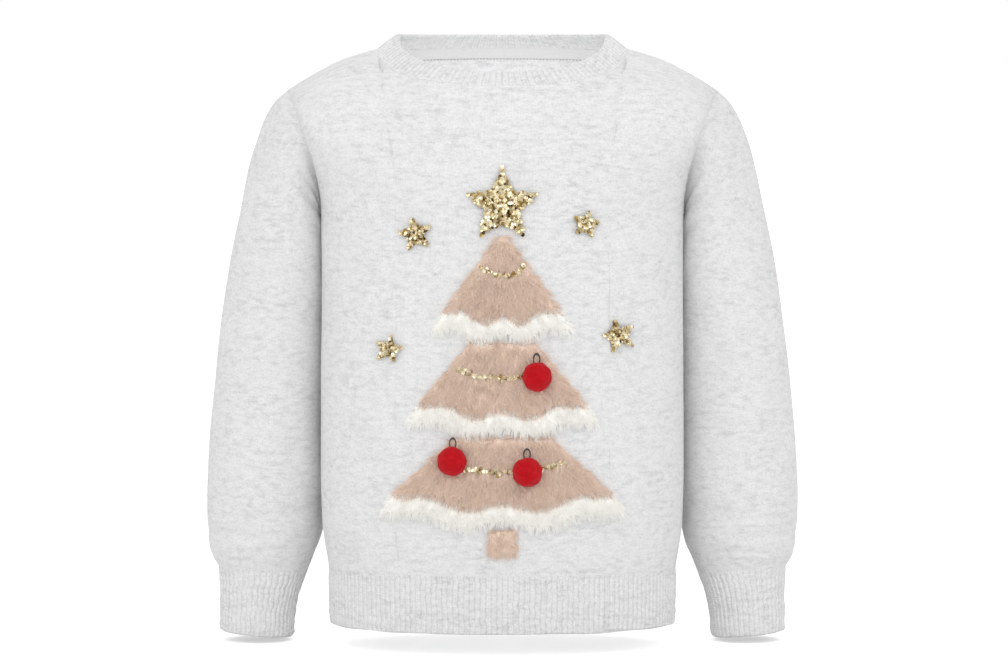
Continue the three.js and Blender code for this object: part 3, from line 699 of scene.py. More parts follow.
WISPS = fibre_material("jersey_wisps", PALE, GREY, streak=JERSEY_STREAK, amount=0.6)
TAUPE = fibre_material("taupe_pile", (0.93, 0.74, 0.62, 1), (0.50, 0.365, 0.28, 1),
                       streak=(0.0011, 0.0035), amount=0.95)
CREAM = fibre_material("cream_pile", (1.0, 1.0, 0.97, 1), (0.92, 0.87, 0.78, 1),
                       streak=(0.0012, 0.004), amount=0.6)
RED_WISPS = fibre_material("red_wisps", (0.56, 0.005, 0.012, 1), (0.34, 0.002, 0.004, 1),
                           streak=(0.002, 0.002), amount=0.6, sheen=0.1)


def felt_material():
    material, tree, shader, place = new_material("red_felt")
    where = tree.nodes.new("ShaderNodeTexCoord").outputs["Object"]
    matted = noise(tree, where, 900.0, 5.0, 0.7)
    patches = noise(tree, where, 160.0, 3.0, 0.6)
    colour = mixed(tree, ranged(tree, matted, 0.3, 0.75), (0.56, 0.004, 0.011, 1), (0.36, 0.002, 0.005, 1))
    colour = mixed(tree, ranged(tree, patches, 0.45, 0.8, 0.0, 0.5), colour, (0.66, 0.012, 0.022, 1))
    tree.links.new(colour, shader.inputs["Base Color"])
    tree.links.new(ranged(tree, matted, 0.2, 0.8, 0.8, 0.95), shader.inputs["Roughness"])
    raise_surface(tree, shader, matted, 0.7, 0.0008)
    set_values(shader, Sheen_Weight=0.15, Specular_IOR_Level=0.1)
    return material


def sequin_material():
    """Each sequin has one place on the map, so that each is its own gold at random, paler or deeper; the deep
    brown end is a painted dark reflection.
    """
    material, tree, shader, place = new_material("gold_sequins")
    shade = noise(tree, place, 900.0, 1.0, 0.5)
    # Painted reflection: the deep brown end stands for sequins that mirror dark surroundings
    colour = mixed(tree, ranged(tree, shade, 0.36, 0.66), (1.0, 0.90, 0.64, 1), (0.34, 0.23, 0.07, 1))
    tree.links.new(colour, shader.inputs["Base Color"])
    tree.links.new(ranged(tree, shade, 0.2, 0.8, 0.12, 0.30), shader.inputs["Roughness"])
    set_values(shader, Metallic=1.0)
    return material


def thread_material(name, colour, dark):
    material, tree, shader, place = new_material(name)
    where = tree.nodes.new("ShaderNodeTexCoord").outputs["Object"]
    twist = noise(tree, where, 1400.0, 3.0, 0.6)
    tree.links.new(mixed(tree, ranged(tree, twist, 0.3, 0.7), colour, dark), shader.inputs["Base Color"])
    tree.links.new(ranged(tree, twist, 0.2, 0.8, 0.7, 0.9), shader.inputs["Roughness"])
    raise_surface(tree, shader, twist, 0.5, 0.0003)
    return material


FELT = felt_material()
GOLD = sequin_material()
BACKING = thread_material("sequin_backing", (0.34, 0.25, 0.12, 1), (0.16, 0.11, 0.05, 1))
LOOP_THREAD = thread_material("grey_loop_thread", (0.075, 0.08, 0.09, 1), (0.03, 0.033, 0.04, 1))
# Grey thread for the tape's stitches, dark enough that it also paints the shade line under the tape's lower
# edge
SEAM_THREAD_PAINTED_SHADE = thread_material("grey_seam_thread_painted_shade", (0.42, 0.42, 0.43, 1), (0.26, 0.26, 0.27, 1))
TAPE_CLOTH = knit_material(
    "neck_tape_cloth", (0.80, 0.80, 0.80, 1), (0.62, 0.62, 0.63, 1), wale=0.0009, course=0.0007,
    streak=(0.004, 0.001), amount=0.3, bump=0.3, fluff=0.2, painted_shade_share=0.1,
)


# Knitted pieces
EVEN_AT = 200.0
FINE_STEPS = 4001


def even_shares(side, count, extra=()):
    """Shares of the half width at even steps round a panel, the given x's too, and how far round each is."""
    fine = -np.cos(np.linspace(0, np.pi, FINE_STEPS))
    points = panel_point(side, fine * half_width(np.array(EVEN_AT)), EVEN_AT)
    run = lengths(points, 0)
    shares = np.interp(np.linspace(0, run[-1], count), run, fine)
    extra = np.array(extra) / SHOULDER["x"]
    shares = np.sort(np.concatenate([shares, extra, -extra]))
    return shares, np.interp(shares, fine, run) - run[-1] / 2


def seam_tuck(distance, depth, width):
    return depth * np.exp(-((distance / width) ** 2))


SEAM_STEP = 0.1
SEAM_TUCK = 0.05
PANEL_SEAM_WIDTH = 2.4
SLEEVE_SEAM_WIDTH = 2.6
EDGE_FADE = 12
PANEL_UNEVEN = {"waves": 26, "size": 0.35}
PANEL_SEED = {FRONT: 11, BACK: 12}
OUTWARD = {FRONT: 1, BACK: -1}
PANEL_COLUMNS = 150
NECK_CORNER = (88, 91, 93, 94.2, 94.8, 95, 96.2)
PANEL_LOWER_ROWS = 78
PANEL_UPPER_ROWS = 46
TOP_ROWS = 8


def panel_piece(side, name):
    shares, span = even_shares(side, PANEL_COLUMNS, NECK_CORNER)
    low_heights = np.linspace(HEM_RIB + SEAM_STEP, ARMPIT["height"], PANEL_LOWER_ROWS, endpoint=False)
    low = panel_point(side, shares * half_width(low_heights)[:, None], low_heights[:, None])
    v = np.sin(np.pi / 2 * np.linspace(0, 1, PANEL_UPPER_ROWS))[:, None]
    x = shares * mix(ARMPIT["x"], SHOULDER["x"], v**ARMHOLE_FLARE)
    top = top_height(side, np.abs(shares) * SHOULDER["x"])
    height = mix(ARMPIT["height"], top, v)
    points = np.concatenate([low, panel_point(side, x, height)])
    normals = grid_normals(points, False, OUTWARD[side])
    normals[-TOP_ROWS:] = panel_normal(side, x[-TOP_ROWS:], height[-TOP_ROWS:])
    up = lengths(points, 0)
    across = lengths(points, 1)
    to_top = np.min(np.linalg.norm(points[:, :, None] - points[-1], axis=-1), axis=2)
    to_side = np.minimum(across, across[:, -1:] - across)
    rng = np.random.default_rng(PANEL_SEED[side])
    sink = seam_tuck(to_side, SEAM_TUCK, PANEL_SEAM_WIDTH)
    rise = gently(points.shape[:2], rng, **PANEL_UNEVEN)
    fade = np.minimum(1, np.minimum(to_side, np.minimum(to_top, up)) / EDGE_FADE)
    outer = points + normals * (rise * fade - sink)[..., None]
    inner = points - normals * CLOTH
    uv = np.stack([np.broadcast_to(span, up.shape), up + HEM_RIB], -1)
    piece = wall_object(name, outer, inner, uv, False, JERSEY)
    return piece, outer, normals, uv


RIB_ROUNDNESS = 0.75
ROLL_RADIUS = 1.3


def rib_profile(phase):
    """0 in a groove to 1 on a crest, with round crests and narrow grooves."""
    wave = 0.5 - 0.5 * np.cos(2 * np.pi * phase)
    return wave**RIB_ROUNDNESS


def rim_roll(distance):
    """How far a face draws in towards the middle of the cloth near a free edge."""
    near = np.clip(1 - distance / ROLL_RADIUS, 0, 1)
    return ROLL_RADIUS * (1 - np.sqrt(1 - near**2))


RIB_STEPS = 6
HEM_ROWS = 26
HEM_RIBS = 84
HEM_SEED = {FRONT: 15, BACK: 16}
HEM_SWAY = {"waves": 14, "size": 0.5}
HEM_SWELL = {"waves": 14, "size": 0.35}
HEM_WAVER = {"waves": 12, "size": 0.3}
HEM_WAVER_REACH = 8
JOINT_FADE = 4.5
SUNK_REACH = 8
RIM_CREST = 0.45
RIM_REACH = 3.0
INNER_RIB = 0.45
THINNEST = 0.15


def ribbed_walls(points, normals, phase, free_edge, from_joint, sunk=0.0):
    """Outer and inner faces of a rib. Inside, each groove of the outside stands as a rib.

    At its joint the rib is plain and flush, and its grooves deepen from there.
    """
    risen = np.clip(from_joint / JOINT_FADE, 0, 1)
    risen = risen * risen * (3 - 2 * risen)
    crest = rib_profile(phase) * mix(RIM_CREST, 1, np.clip(free_edge / RIM_REACH, 0, 1))
    sunk = sunk * np.exp(-((from_joint / SUNK_REACH) ** 2))
    roll = rim_roll(free_edge)
    outer = points + normals * (RIB_HEIGHT * (1 + (crest - 1) * risen) - sunk - roll)[..., None]
    back = RIB_CLOTH - RIB_HEIGHT - INNER_RIB * crest * risen + sunk
    inner = points - normals * np.maximum(back - roll, THINNEST)[..., None]
    return outer, inner


def spaced(rows):
    """Shares from 0 to 1 that lie closest together near both ends."""
    even = np.linspace(0, 1, rows)
    return mix(even, even * even * (3 - 2 * even), 0.75)


def hem_piece(side, name):
    shares, span = even_shares(side, HEM_RIBS * RIB_STEPS + 1)
    level = (HEM_RIB + SEAM_STEP) * spaced(HEM_ROWS)[:, None] + 0 * shares
    rng = np.random.default_rng(HEM_SEED[side])
    sway = gently(level.shape, rng, **HEM_SWAY) / span[-1] * (1 - shares**2)
    points = panel_point(side, (shares + sway) * half_width(level), level, False)
    normals = grid_normals(points, False, OUTWARD[side])
    phase = np.linspace(0, HEM_RIBS, len(shares)) + 0 * level
    swell = gently(level.shape, rng, **HEM_SWELL)
    points = points + normals * swell[..., None] * (1 - level / HEM_RIB)[..., None]
    outer, inner = ribbed_walls(points, normals, phase, level, level[-1:] - level, RIB_HEIGHT)
    waver = gently(level.shape, rng, **HEM_WAVER) * np.exp(-level / HEM_WAVER_REACH)
    outer[..., 2] += waver
    inner[..., 2] += waver
    uv = np.stack([phase * RIB_PITCH, level], -1)
    piece = wall_object(name, outer, inner, uv, False, RIB)
    return piece, outer, normals, uv


SLEEVE_UNEVEN = {"waves": 22, "size": 0.3}
SLEEVE_ROUND = 2 * np.pi * 44
PLACE_APART = 500
SLEEVE_COLUMNS = 112
SEAM_TUCKED_IN = 0.1
SLEEVE_ROWS = 120
ARMHOLE_FADE = 6
SHOULDER_TURN = 0.4
SHOULDER_ROWS = 9


def armhole_point(angle):
    """The panels' armhole edge, from the underarm up the front to the shoulder and down the back."""
    rising = np.where(angle <= np.pi, angle, 2 * np.pi - angle) / np.pi
    height = mix(ARMPIT["height"], SHOULDER["height"], np.sin(np.pi / 2 * rising))
    front = panel_point(FRONT, half_width(height), height)
    back = panel_point(BACK, half_width(height), height)
    return np.where((angle <= np.pi)[..., None], front, back)


def mirrored(points, side_sign):
    return points * np.array([side_sign, 1, 1])


def sleeve_piece(name, side_sign, seed):
    angle = 2 * np.pi * np.arange(SLEEVE_COLUMNS) / SLEEVE_COLUMNS
    last = len(SLEEVE["step"]) - 1
    step = last * np.linspace(0, 1, SLEEVE_ROWS)[:, None]
    rows = row_at(SLEEVE, step)
    first = {key: value[0] for key, value in SLEEVE.items()}
    fade = np.clip(step / ARMHOLE_FADE, 0, 1)
    fade = 1 - fade * fade * (3 - 2 * fade)
    strayed = armhole_point(angle) - oval_point(first, angle)
    points = oval_point(rows, angle + 0 * step) + strayed * fade[..., None]
    normals = turned_out(grid_normals(points, True, 1), points - points.mean(1, keepdims=True))
    at_shoulder = np.abs(angle - np.pi) < SHOULDER_TURN
    normals[:SHOULDER_ROWS, at_shoulder] = normals[SHOULDER_ROWS, at_shoulder]
    up = lengths(points, 0)
    creases = np.zeros(up.shape)
    for i in range(len(SLEEVE_CREASES["step"])):
        turn = (angle - SLEEVE_CREASES["angle"][i] + np.pi) % (2 * np.pi) - np.pi
        rise = step - SLEEVE_CREASES["step"][i] - SLEEVE_CREASES["slant"][i] * turn * 2
        reach = (turn / SLEEVE_CREASES["length"][i]) ** 2 + (rise / SLEEVE_CREASES["width"][i]) ** 2
        creases += SLEEVE_CREASES["depth"][i] * np.exp(-reach)
    rng = np.random.default_rng(seed)
    uneven = gently(up.shape, rng, **SLEEVE_UNEVEN) + creases
    sink = seam_tuck(up, SEAM_TUCK, SLEEVE_SEAM_WIDTH)
    fade_in = np.minimum(1, np.minimum(up, up[-1] - up) / EDGE_FADE)
    outer = points + normals * (uneven * fade_in - sink)[..., None]
    inner = points - normals * CLOTH
    outer[0] -= unit(outer[1] - outer[0]) * SEAM_TUCKED_IN
    inner[0] -= unit(inner[1] - inner[0]) * SEAM_TUCKED_IN
    span = np.linspace(0, SLEEVE_ROUND, SLEEVE_COLUMNS, endpoint=False)
    uv = np.stack([np.broadcast_to(span, up.shape) + PLACE_APART * seed, up[-1] - up], -1)
    outer, inner, normals = (mirrored(p, side_sign) for p in (outer, inner, normals))
    piece = wall_object(name, outer, inner, uv, True, JERSEY)
    return piece, outer, normals, uv


CUFF_SWAY = {"waves": 12, "size": 0.02}
CUFF_SWELL = {"waves": 12, "size": 0.4}
CUFF_TUCKED_IN = 0.3
CUFF_RIBS = 44
CUFF_ROWS = 26


def cuff_piece(name, side_sign, seed):
    columns = CUFF_RIBS * RIB_STEPS
    angle = 2 * np.pi * np.arange(columns) / columns
    share = 1 - spaced(CUFF_ROWS)[:, None]
    rows = row_at(CUFF, share * 2)
    rng = np.random.default_rng(seed)
    sway = gently((CUFF_ROWS, columns), rng, **CUFF_SWAY)
    points = oval_point(rows, angle + sway)
    normals = oval_normal(rows, angle + 0 * share)
    up = lengths(points, 0)
    phase = np.linspace(0, CUFF_RIBS, columns, endpoint=False) + 0 * up
    lower = 1 - up / up[-1]
    points = points + normals * (gently(up.shape, rng, **CUFF_SWELL) * lower)[..., None]
    outer, inner = ribbed_walls(points, normals, phase, up, up[-1] - up)
    outer[-1] += np.array([0, 0, CUFF_TUCKED_IN])
    uv = np.stack([(phase + 100 * seed) * RIB_PITCH, up], -1)
    outer, inner, normals = (mirrored(p, side_sign) for p in (outer, inner, normals))
    piece = wall_object(name, outer, inner, uv, True, RIB)
    return piece, outer, normals, uv


BELOW_NECK = (0, 0, 380.0)
COLLAR_RIBS = 116
COLLAR_ROWS = 20
COLLAR_TUCKED_IN = 0.7
COLLAR_PLACE = 900


def collar_point(angle, across):
    side_front = np.cos(angle) > 0
    share = np.abs(np.sin(angle))
    seam_x = NECK_SEAM["x"] * np.sin(angle)
    front = panel_point(FRONT, seam_x, top_height(FRONT, np.abs(seam_x)), False)
    back = panel_point(BACK, seam_x, top_height(BACK, np.abs(seam_x)), False)
    seam = np.where(side_front[..., None], front, back)
    normal = neck_normal(seam)
    rim_y = np.where(side_front, NECK_RIM[FRONT][0], NECK_RIM[BACK][0])
    rim_height = np.where(side_front, NECK_RIM[FRONT][1], NECK_RIM[BACK][1])
    rim = np.stack([
        NECK_RIM["x"] * np.sin(angle),
        mix(NECK_RIM["y"], rim_y, np.abs(np.cos(angle))),
        mix(NECK_RIM["height"], rim_height, neck_round(share)),
    ], -1)
    stand = COLLAR_STAND * np.sin(np.pi * across)
    return mix(seam, rim, across[..., None]) + normal * stand[..., None]


def collar_piece():
    columns = COLLAR_RIBS * RIB_STEPS
    angle = 2 * np.pi * np.arange(columns) / columns
    across = 1 - spaced(COLLAR_ROWS)[:, None] + 0 * angle
    points = collar_point(angle + 0 * across, across)
    normals = turned_out(grid_normals(points, True, 1), points - BELOW_NECK)
    up = lengths(points, 0)
    phase = np.linspace(0, COLLAR_RIBS, columns, endpoint=False) + 0 * up
    outer, inner = ribbed_walls(points, normals, phase, up, up[-1] - up, RIB_HEIGHT)
    outer[-1] -= unit(outer[-2] - outer[-1]) * COLLAR_TUCKED_IN
    inner[-1] -= unit(inner[-2] - inner[-1]) * COLLAR_TUCKED_IN
    uv = np.stack([phase * RIB_PITCH, up + COLLAR_PLACE], -1)
    piece = wall_object("collar_rib", outer, inner, uv, True, RIB)
    return piece, outer, normals, uv


# Fibres
def strands(name, roots, normals, comb, uv, reach, lift, width, material, seed, bend=0.5, loose=0.55):
    """Tapered fibres, each of three faces, that rise from their roots and lean over along the comb."""
    rng = np.random.default_rng(seed)
    count = len(roots)
    length = rng.uniform(*reach, count)[:, None]
    swirl = unit(rng.normal(size=(count, 3)))
    swirl = unit(laid_flat(swirl, normals))
    rise = rng.uniform(*lift, count)[:, None]
    start = unit(normals * rise + comb + swirl * loose)
    end = unit(start * (1 - bend) + comb * bend + swirl * loose * 0.6 - normals * 0.12)
    middle = roots + start * length * 0.5
    tip = middle + end * length * 0.5
    flat = unit(np.cross(start, normals) + 0.3 * swirl) * width / 2
    points = np.stack([roots - flat, roots + flat, middle - flat * 0.8, middle + flat * 0.8, tip], 1)
    base = np.arange(count)[:, None] * 5
    faces = np.concatenate([base + [0, 1, 3], base + [0, 3, 2], base + [2, 3, 4]])
    return mesh_object(name, points, faces, np.repeat(uv, 5, axis=0), [material], False)


def scattered(points, normals, others, count, seed):
    """Places spread evenly over a grid's surface, with their normals and whatever else the grid holds."""
    rng = np.random.default_rng(seed)
    a, b, c = points[:-1, :-1], points[:-1, 1:], points[1:, :-1]
    area = np.linalg.norm(np.cross(b - a, c - a), axis=-1)
    cell = rng.choice(area.size, count, p=area.ravel() / area.sum())
    i, j = np.unravel_index(cell, area.shape)
    s, t = rng.uniform(size=(2, count, 1))

    def blend(grid):
        low = grid[i, j] * (1 - s) + grid[i, j + 1] * s
        high = grid[i + 1, j] * (1 - s) + grid[i + 1, j + 1] * s
        return low * (1 - t) + high * t

    return blend(points), unit(blend(normals)), blend(others)


def laid_flat(vectors, normals):
    return vectors - normals * np.einsum("ij,ij->i", vectors, normals)[:, None]


WISP_WIDTH = 0.07
LONG_WISPS = (1.6, 3.6)
SHORT_WISPS = (1.4, 3.0)


def wisps(name, made, count, seed, reach):
    """Brushed-up fibres of the yarn, lying every way over the knit."""
    _, outer, normals, uv = made
    roots, facing, place = scattered(outer, normals, uv, count, seed)
    rng = np.random.default_rng(seed + 100)
    comb = laid_flat(rng.normal(size=roots.shape) * 0.9 + np.array([0, 0, -0.3]), facing)
    place = place + rng.normal(size=place.shape) * 0.7
    return strands(name, roots - facing * 0.15, facing, comb, place, reach, (0.3, 1.0), WISP_WIDTH, WISPS,
                   seed)


def locks(place, seed):
    """Which way each lock of the pile leans, sideways and along."""
    rng = np.random.default_rng(seed)
    lean = np.zeros(place.shape)
    for _ in range(16):
        wave = unit(rng.normal(size=2)) * 2 * np.pi / rng.uniform(3.5, 13)
        lean += rng.normal(size=2) * np.cos(place @ wave + rng.uniform(0, 2 * np.pi))[:, None]
    return lean / 4


# The fir, its edges and the stars
def scallops(tier, share):
    return -tier["dip"] * (1 - share * share) + SCALLOP * np.cos(share * np.pi * 3)


def tier_place(tier, share, down):
    x = share * mix(tier["top_half"], tier["bottom_half"], down)
    return x, mix(tier["top"], tier["bottom"] + scallops(tier, share), down)


def edge_place(tier, share, down):
    x = share * (tier["bottom_half"] + PLUSH_EDGE * 0.6 * down)
    return x, tier["bottom"] + scallops(tier, share) - 0.3 - down * PLUSH_EDGE


def trunk_place(_, share, down):
    return share * TRUNK["half"], mix(TRUNK["top"], TRUNK["bottom"], down) + 0 * share


PAD_EDGE = 0.35
PAD_ROUNDING = 3.5
PAD_UNDERSIDE = 0.25
OUTWARD_REACH = 2.5


def pad_piece(name, place, tier, columns, rows, material):
    """A patch of plush on the front. Its last values say how near the edge is, and which way is out."""
    share, down = np.meshgrid(np.linspace(-1, 1, columns), np.linspace(0, 1, rows))
    x, height = place(tier, share, down)
    under = panel_point(FRONT, x, height)
    normals = panel_normal(FRONT, x, height)
    across, fall = lengths(under, 1), lengths(under, 0)
    to_side = np.minimum(across, across[:, -1:] - across)
    near = np.minimum(to_side, np.minimum(fall, fall[-1:] - fall))
    dome = PLUSH_THICK * mix(PAD_EDGE, 1, np.minimum(1, near / PAD_ROUNDING) ** 0.5)
    outer = under + normals * (PLUSH_LIFT + dome)[..., None]
    inner = under + normals * PAD_UNDERSIDE
    sideways = np.sign(share) * np.exp(-((to_side / OUTWARD_REACH) ** 2))
    along_fall = np.exp(-((fall / OUTWARD_REACH) ** 2))
    along_fall = along_fall - np.exp(-(((fall[-1:] - fall) / OUTWARD_REACH) ** 2))
    uv = np.stack([x, height], -1)
    piece = wall_object(name, outer, inner, uv, False, material)
    return piece, outer, normals, np.stack([x, height, sideways, along_fall], -1)


GARLAND = {"down": 0.36, "drop": 6, "dip_share": 0.4, "reach": 0.86, "pitch": 1.25, "scatter": 0.9}


def garland_height(tier, share):
    """A swag of sequins that hangs across a tier."""
    top = mix(tier["top"], tier["bottom"], GARLAND["down"])
    hang = 1 - share * share
    return top - GARLAND["drop"] * hang - tier["dip"] * GARLAND["dip_share"] * hang


def garland_points(tier):
    share = np.linspace(-GARLAND["reach"], GARLAND["reach"], 400)
    height = garland_height(tier, share)
    down = np.clip((tier["top"] - height) / (tier["top"] - tier["bottom"] - scallops(tier, share)), 0, 1)
    x = share * mix(tier["top_half"], tier["bottom_half"], down)
    return x, height


def kept_clear(x, height, tier):
    """True where no ball or garland covers the plush."""
    clear = np.ones(x.shape, bool)
    for ball in BALLS.values():
        clear &= np.hypot(x - ball["x"], height - ball["height"]) > ball["radius"] * 0.8
    if tier is not None:
        line_x, line_height = garland_points(tier)
        away = np.min(np.hypot(x[:, None] - line_x[::8], height[:, None] - line_height[::8]), axis=1)
        clear &= away > 2.0
    return clear


def plush(name, pad, count, seed, reach, material, tier=None, width=0.34):
    """The pile of a patch: combed down in locks, and outwards along the patch's edges."""
    _, outer, normals, given = pad
    roots, facing, given = scattered(outer, normals, given, count, seed)
    clear = kept_clear(given[:, 0], given[:, 1], tier)
    roots, facing, given = roots[clear], facing[clear], given[clear]
    place, out = given[:, :2], given[:, 2:]
    lean = locks(place, seed) * 0.9
    comb = np.stack([
        place[:, 0] * 0.01 + lean[:, 0] + 1.3 * out[:, 0],
        np.zeros(len(roots)),
        -1.0 + lean[:, 1] * 0.5 + 1.8 * out[:, 1],
    ], -1) * 0.9
    rng = np.random.default_rng(seed + 300)
    place = place + rng.normal(size=place.shape) * 0.5
    comb = laid_flat(comb, facing)
    return strands(name, roots - facing * 0.3, facing, comb, place, reach, (0.3, 0.95), width, material, seed,
                   0.5, 0.3)


SEQUIN_SIDES = 9
SEQUIN_THICK = 0.05
SEQUIN_CUP = 0.14
SEQUIN_TIP = 0.34
SEQUIN_FACING_UP = 0.12


def sequin_pattern():
    """One sequin of radius 1, modelled once: a thin cupped disc."""
    bpy.ops.object.select_all(action="DESELECT")
    bpy.ops.mesh.primitive_cylinder_add(vertices=SEQUIN_SIDES, radius=1, depth=SEQUIN_THICK,
                                        end_fill_type="TRIFAN")
    disc = bpy.context.object
    bpy.ops.object.mode_set(mode="EDIT")
    bpy.ops.mesh.select_all(action="SELECT")
    bpy.ops.mesh.quads_convert_to_tris()
    bpy.ops.mesh.normals_make_consistent(inside=False)
    bpy.ops.object.mode_set(mode="OBJECT")
    mesh = disc.data
    points = vertices_of(mesh).astype(float)
    points[:, 2] += SEQUIN_CUP * np.hypot(points[:, 0], points[:, 1]) ** 2
    faces = np.empty(len(mesh.polygons) * 3, np.int32)
    mesh.polygons.foreach_get("vertices", faces)
    bpy.data.objects.remove(disc)
    return points, faces.reshape(-1, 3)


SEQUIN_POINTS, SEQUIN_FACES = sequin_pattern()


def sequin_discs(name, centres, normals, radius, seed):
    """Copies of the sequin, each tipped its own way, as they lie when they are sewn close together."""
    rng = np.random.default_rng(seed)
    count, corners = len(centres), len(SEQUIN_POINTS)
    tip = unit(normals + rng.normal(size=(count, 3)) * SEQUIN_TIP + np.array([0, 0, SEQUIN_FACING_UP]))
    first = unit(np.cross(tip, rng.normal(size=(count, 3))))
    second = np.cross(tip, first)
    size = radius * rng.uniform(0.88, 1.1, count)
    turn = np.stack([first, second, tip], 1) * size[:, None, None]
    points = centres[:, None] + np.einsum("kj,njc->nkc", SEQUIN_POINTS, turn)
    faces = SEQUIN_FACES + (np.arange(count) * corners)[:, None, None]
    uv = np.repeat(rng.uniform(0, 1000, (count, 2)), corners, axis=0)
    return mesh_object(name, points, faces.reshape(-1, 3), uv, [GOLD], False)


def star_reach(star, angle):
    """The star's outline: how far it reaches at an angle."""
    fifth = 2 * np.pi / 5
    turned = (angle - np.pi / 2 - math.radians(star["turn"])) % fifth
    turned = np.minimum(turned, fifth - turned)
    point, waist = star["radius"], star["radius"] * STAR_WAIST
    half = np.pi / 5
    return point * waist * math.sin(half) / (point * np.sin(turned) + waist * np.sin(half - turned))


def star_piece(name, star, seed):
    rings = np.linspace(0.02, 1, 7)[:, None]
    angle = np.linspace(0, 2 * np.pi, 81)[:-1] + np.pi / 2 + math.radians(star["turn"])
    reach = star_reach(star, angle) * STAR_BASE_SHARE
    x = star["x"] + rings * reach * np.cos(angle)
    height = star["height"] + rings * reach * np.sin(angle)
    under = panel_point(FRONT, x, height)
    normals = panel_normal(FRONT, x, height)
    dome = 0.5 + (STAR_THICK - 0.5) * (1 - rings**4)
    outer = under + normals * (PLUSH_LIFT + dome)[..., None]
    inner = under + normals * 0.2
    base = wall_object(name + "_base", outer, inner, np.stack([x, height], -1), True, BACKING)
    pitch, radius = (2.3, 1.65) if star["radius"] > 20 else (1.8, 1.35)
    grid = np.arange(-14, 15) * pitch
    px, ph = np.meshgrid(grid, grid * 0.87)
    px = px + (np.arange(29) % 2)[:, None] * pitch / 2
    rng = np.random.default_rng(seed)
    px = (px + rng.normal(size=px.shape) * 0.25).ravel()
    ph = (ph + rng.normal(size=ph.shape) * 0.25).ravel()
    inside = np.hypot(px, ph) < star_reach(star, np.arctan2(ph, px)) + 0.4
    px, ph = star["x"] + px[inside], star["height"] + ph[inside]
    lift = PLUSH_LIFT + STAR_THICK + 0.5 + rng.uniform(0, 0.5, len(px))[:, None]
    normal = panel_normal(FRONT, px, ph)
    places = panel_point(FRONT, px, ph) + normal * lift
    discs = sequin_discs(name + "_sequins", places, normal, radius, seed)
    return base, discs


def garland_piece(name, tier, seed):
    x, height = garland_points(tier)
    points = panel_point(FRONT, x, height)
    run = lengths(points, 0)
    along_line = np.arange(0.6, run[-1], GARLAND["pitch"])
    rng = np.random.default_rng(seed)
    gx = np.interp(along_line, run, x)
    gh = np.interp(along_line, run, height) + rng.normal(size=len(along_line)) * GARLAND["scatter"]
    normal = panel_normal(FRONT, gx, gh)
    lift = PLUSH_LIFT + PLUSH_THICK + 1.2 + rng.uniform(0, 0.8, len(gx))[:, None]
    return sequin_discs(name, panel_point(FRONT, gx, gh) + normal * lift, normal, 1.6, seed)


FUZZ_COUNT = 1500
FUZZ_REACH = (0.7, 1.5)
FUZZ_WIDTH = 0.1
LUMP_SIZE = 0.006


def ball_piece(name, ball, seed):
    """A felted ball, pressed a little flat, modelled upright and then laid on the plush."""
    bpy.ops.object.select_all(action="DESELECT")
    bpy.ops.mesh.primitive_ico_sphere_add(subdivisions=5, radius=ball["radius"] * MM, location=(0, 0, 0))
    piece = bpy.context.object
    piece.name = name
    normal = panel_normal(FRONT, ball["x"], ball["height"])
    rise = PLUSH_LIFT + PLUSH_THICK + 0.3 + ball["radius"] * BALL_SQUASH
    centre = panel_point(FRONT, ball["x"], ball["height"]) + normal * rise
    local = vertices_of(piece.data) / MM
    count = len(local)
    rng = np.random.default_rng(seed)
    lumps = np.zeros(count)
    for _ in range(30):
        wave = rng.normal(size=3) * 0.45
        lumps += rng.normal() * np.cos(local @ wave + rng.uniform(0, 6.3))
    way = unit(local)
    local = local * (1 + LUMP_SIZE * lumps[:, None])
    right = unit(np.cross([0, 0, 1.0], normal))
    above = np.cross(normal, right)
    turned = local[:, :1] * right + local[:, 1:2] * above + local[:, 2:] * normal * BALL_SQUASH
    facing = unit(way[:, :1] * right + way[:, 1:2] * above + way[:, 2:] * normal / BALL_SQUASH)
    points = centre + turned
    piece.data.vertices.foreach_set("co", in_metres(points).ravel())
    piece.data.materials.clear()
    piece.data.materials.append(FELT)
    piece.data.uv_layers[0].name = "knit"
    bpy.ops.object.shade_smooth()
    piece.data.update()
    picked = rng.choice(count, FUZZ_COUNT, replace=True)
    way = laid_flat(rng.normal(size=(FUZZ_COUNT, 3)) * 0.8, facing[picked])
    fuzz = strands(name + "_wisps", points[picked] - facing[picked] * 0.2, facing[picked], way,
                   rng.uniform(0, 30, (FUZZ_COUNT, 2)), FUZZ_REACH, (0.3, 1.0), FUZZ_WIDTH, RED_WISPS, seed)
    return piece, fuzz, centre, normal


LOOP_RADIUS = 2.4
LOOP_THREAD_RADIUS = 0.45
LOOP_LENGTHENED = 1.7


def loop_piece(name, centre, normal, radius):
    """The short loop of thread that a ball hangs from: a ring, drawn out long, half behind the ball."""
    bpy.ops.object.select_all(action="DESELECT")
    bpy.ops.mesh.primitive_torus_add(major_radius=LOOP_RADIUS * MM, minor_radius=LOOP_THREAD_RADIUS * MM,
                                     major_segments=28, minor_segments=8)
    ring = bpy.context.object
    ring.name = name
    ring.data.uv_layers[0].name = "knit"
    bpy.ops.object.mode_set(mode="EDIT")
    bpy.ops.mesh.select_all(action="SELECT")
    bpy.ops.transform.resize(value=(1, LOOP_LENGTHENED, 1))
    bpy.ops.object.mode_set(mode="OBJECT")
    bpy.ops.object.shade_smooth()
    up = unit(np.array([0, 0, 1.0]) - normal * normal[2])
    right = np.cross(up, normal)
    middle = centre - normal * (radius * BALL_SQUASH - 2.6) + up * (radius + 1.9)
    local = vertices_of(ring.data) / MM
    points = middle + local[:, :1] * right + local[:, 1:2] * up + local[:, 2:] * normal
    ring.data.vertices.foreach_set("co", in_metres(points).ravel())
    ring.data.materials.append(LOOP_THREAD)
    ring.data.update()
    return ring


STITCH_PITCH = 2.6
STITCH_LENGTH = 2.3
STITCH_RADIUS = 0.55


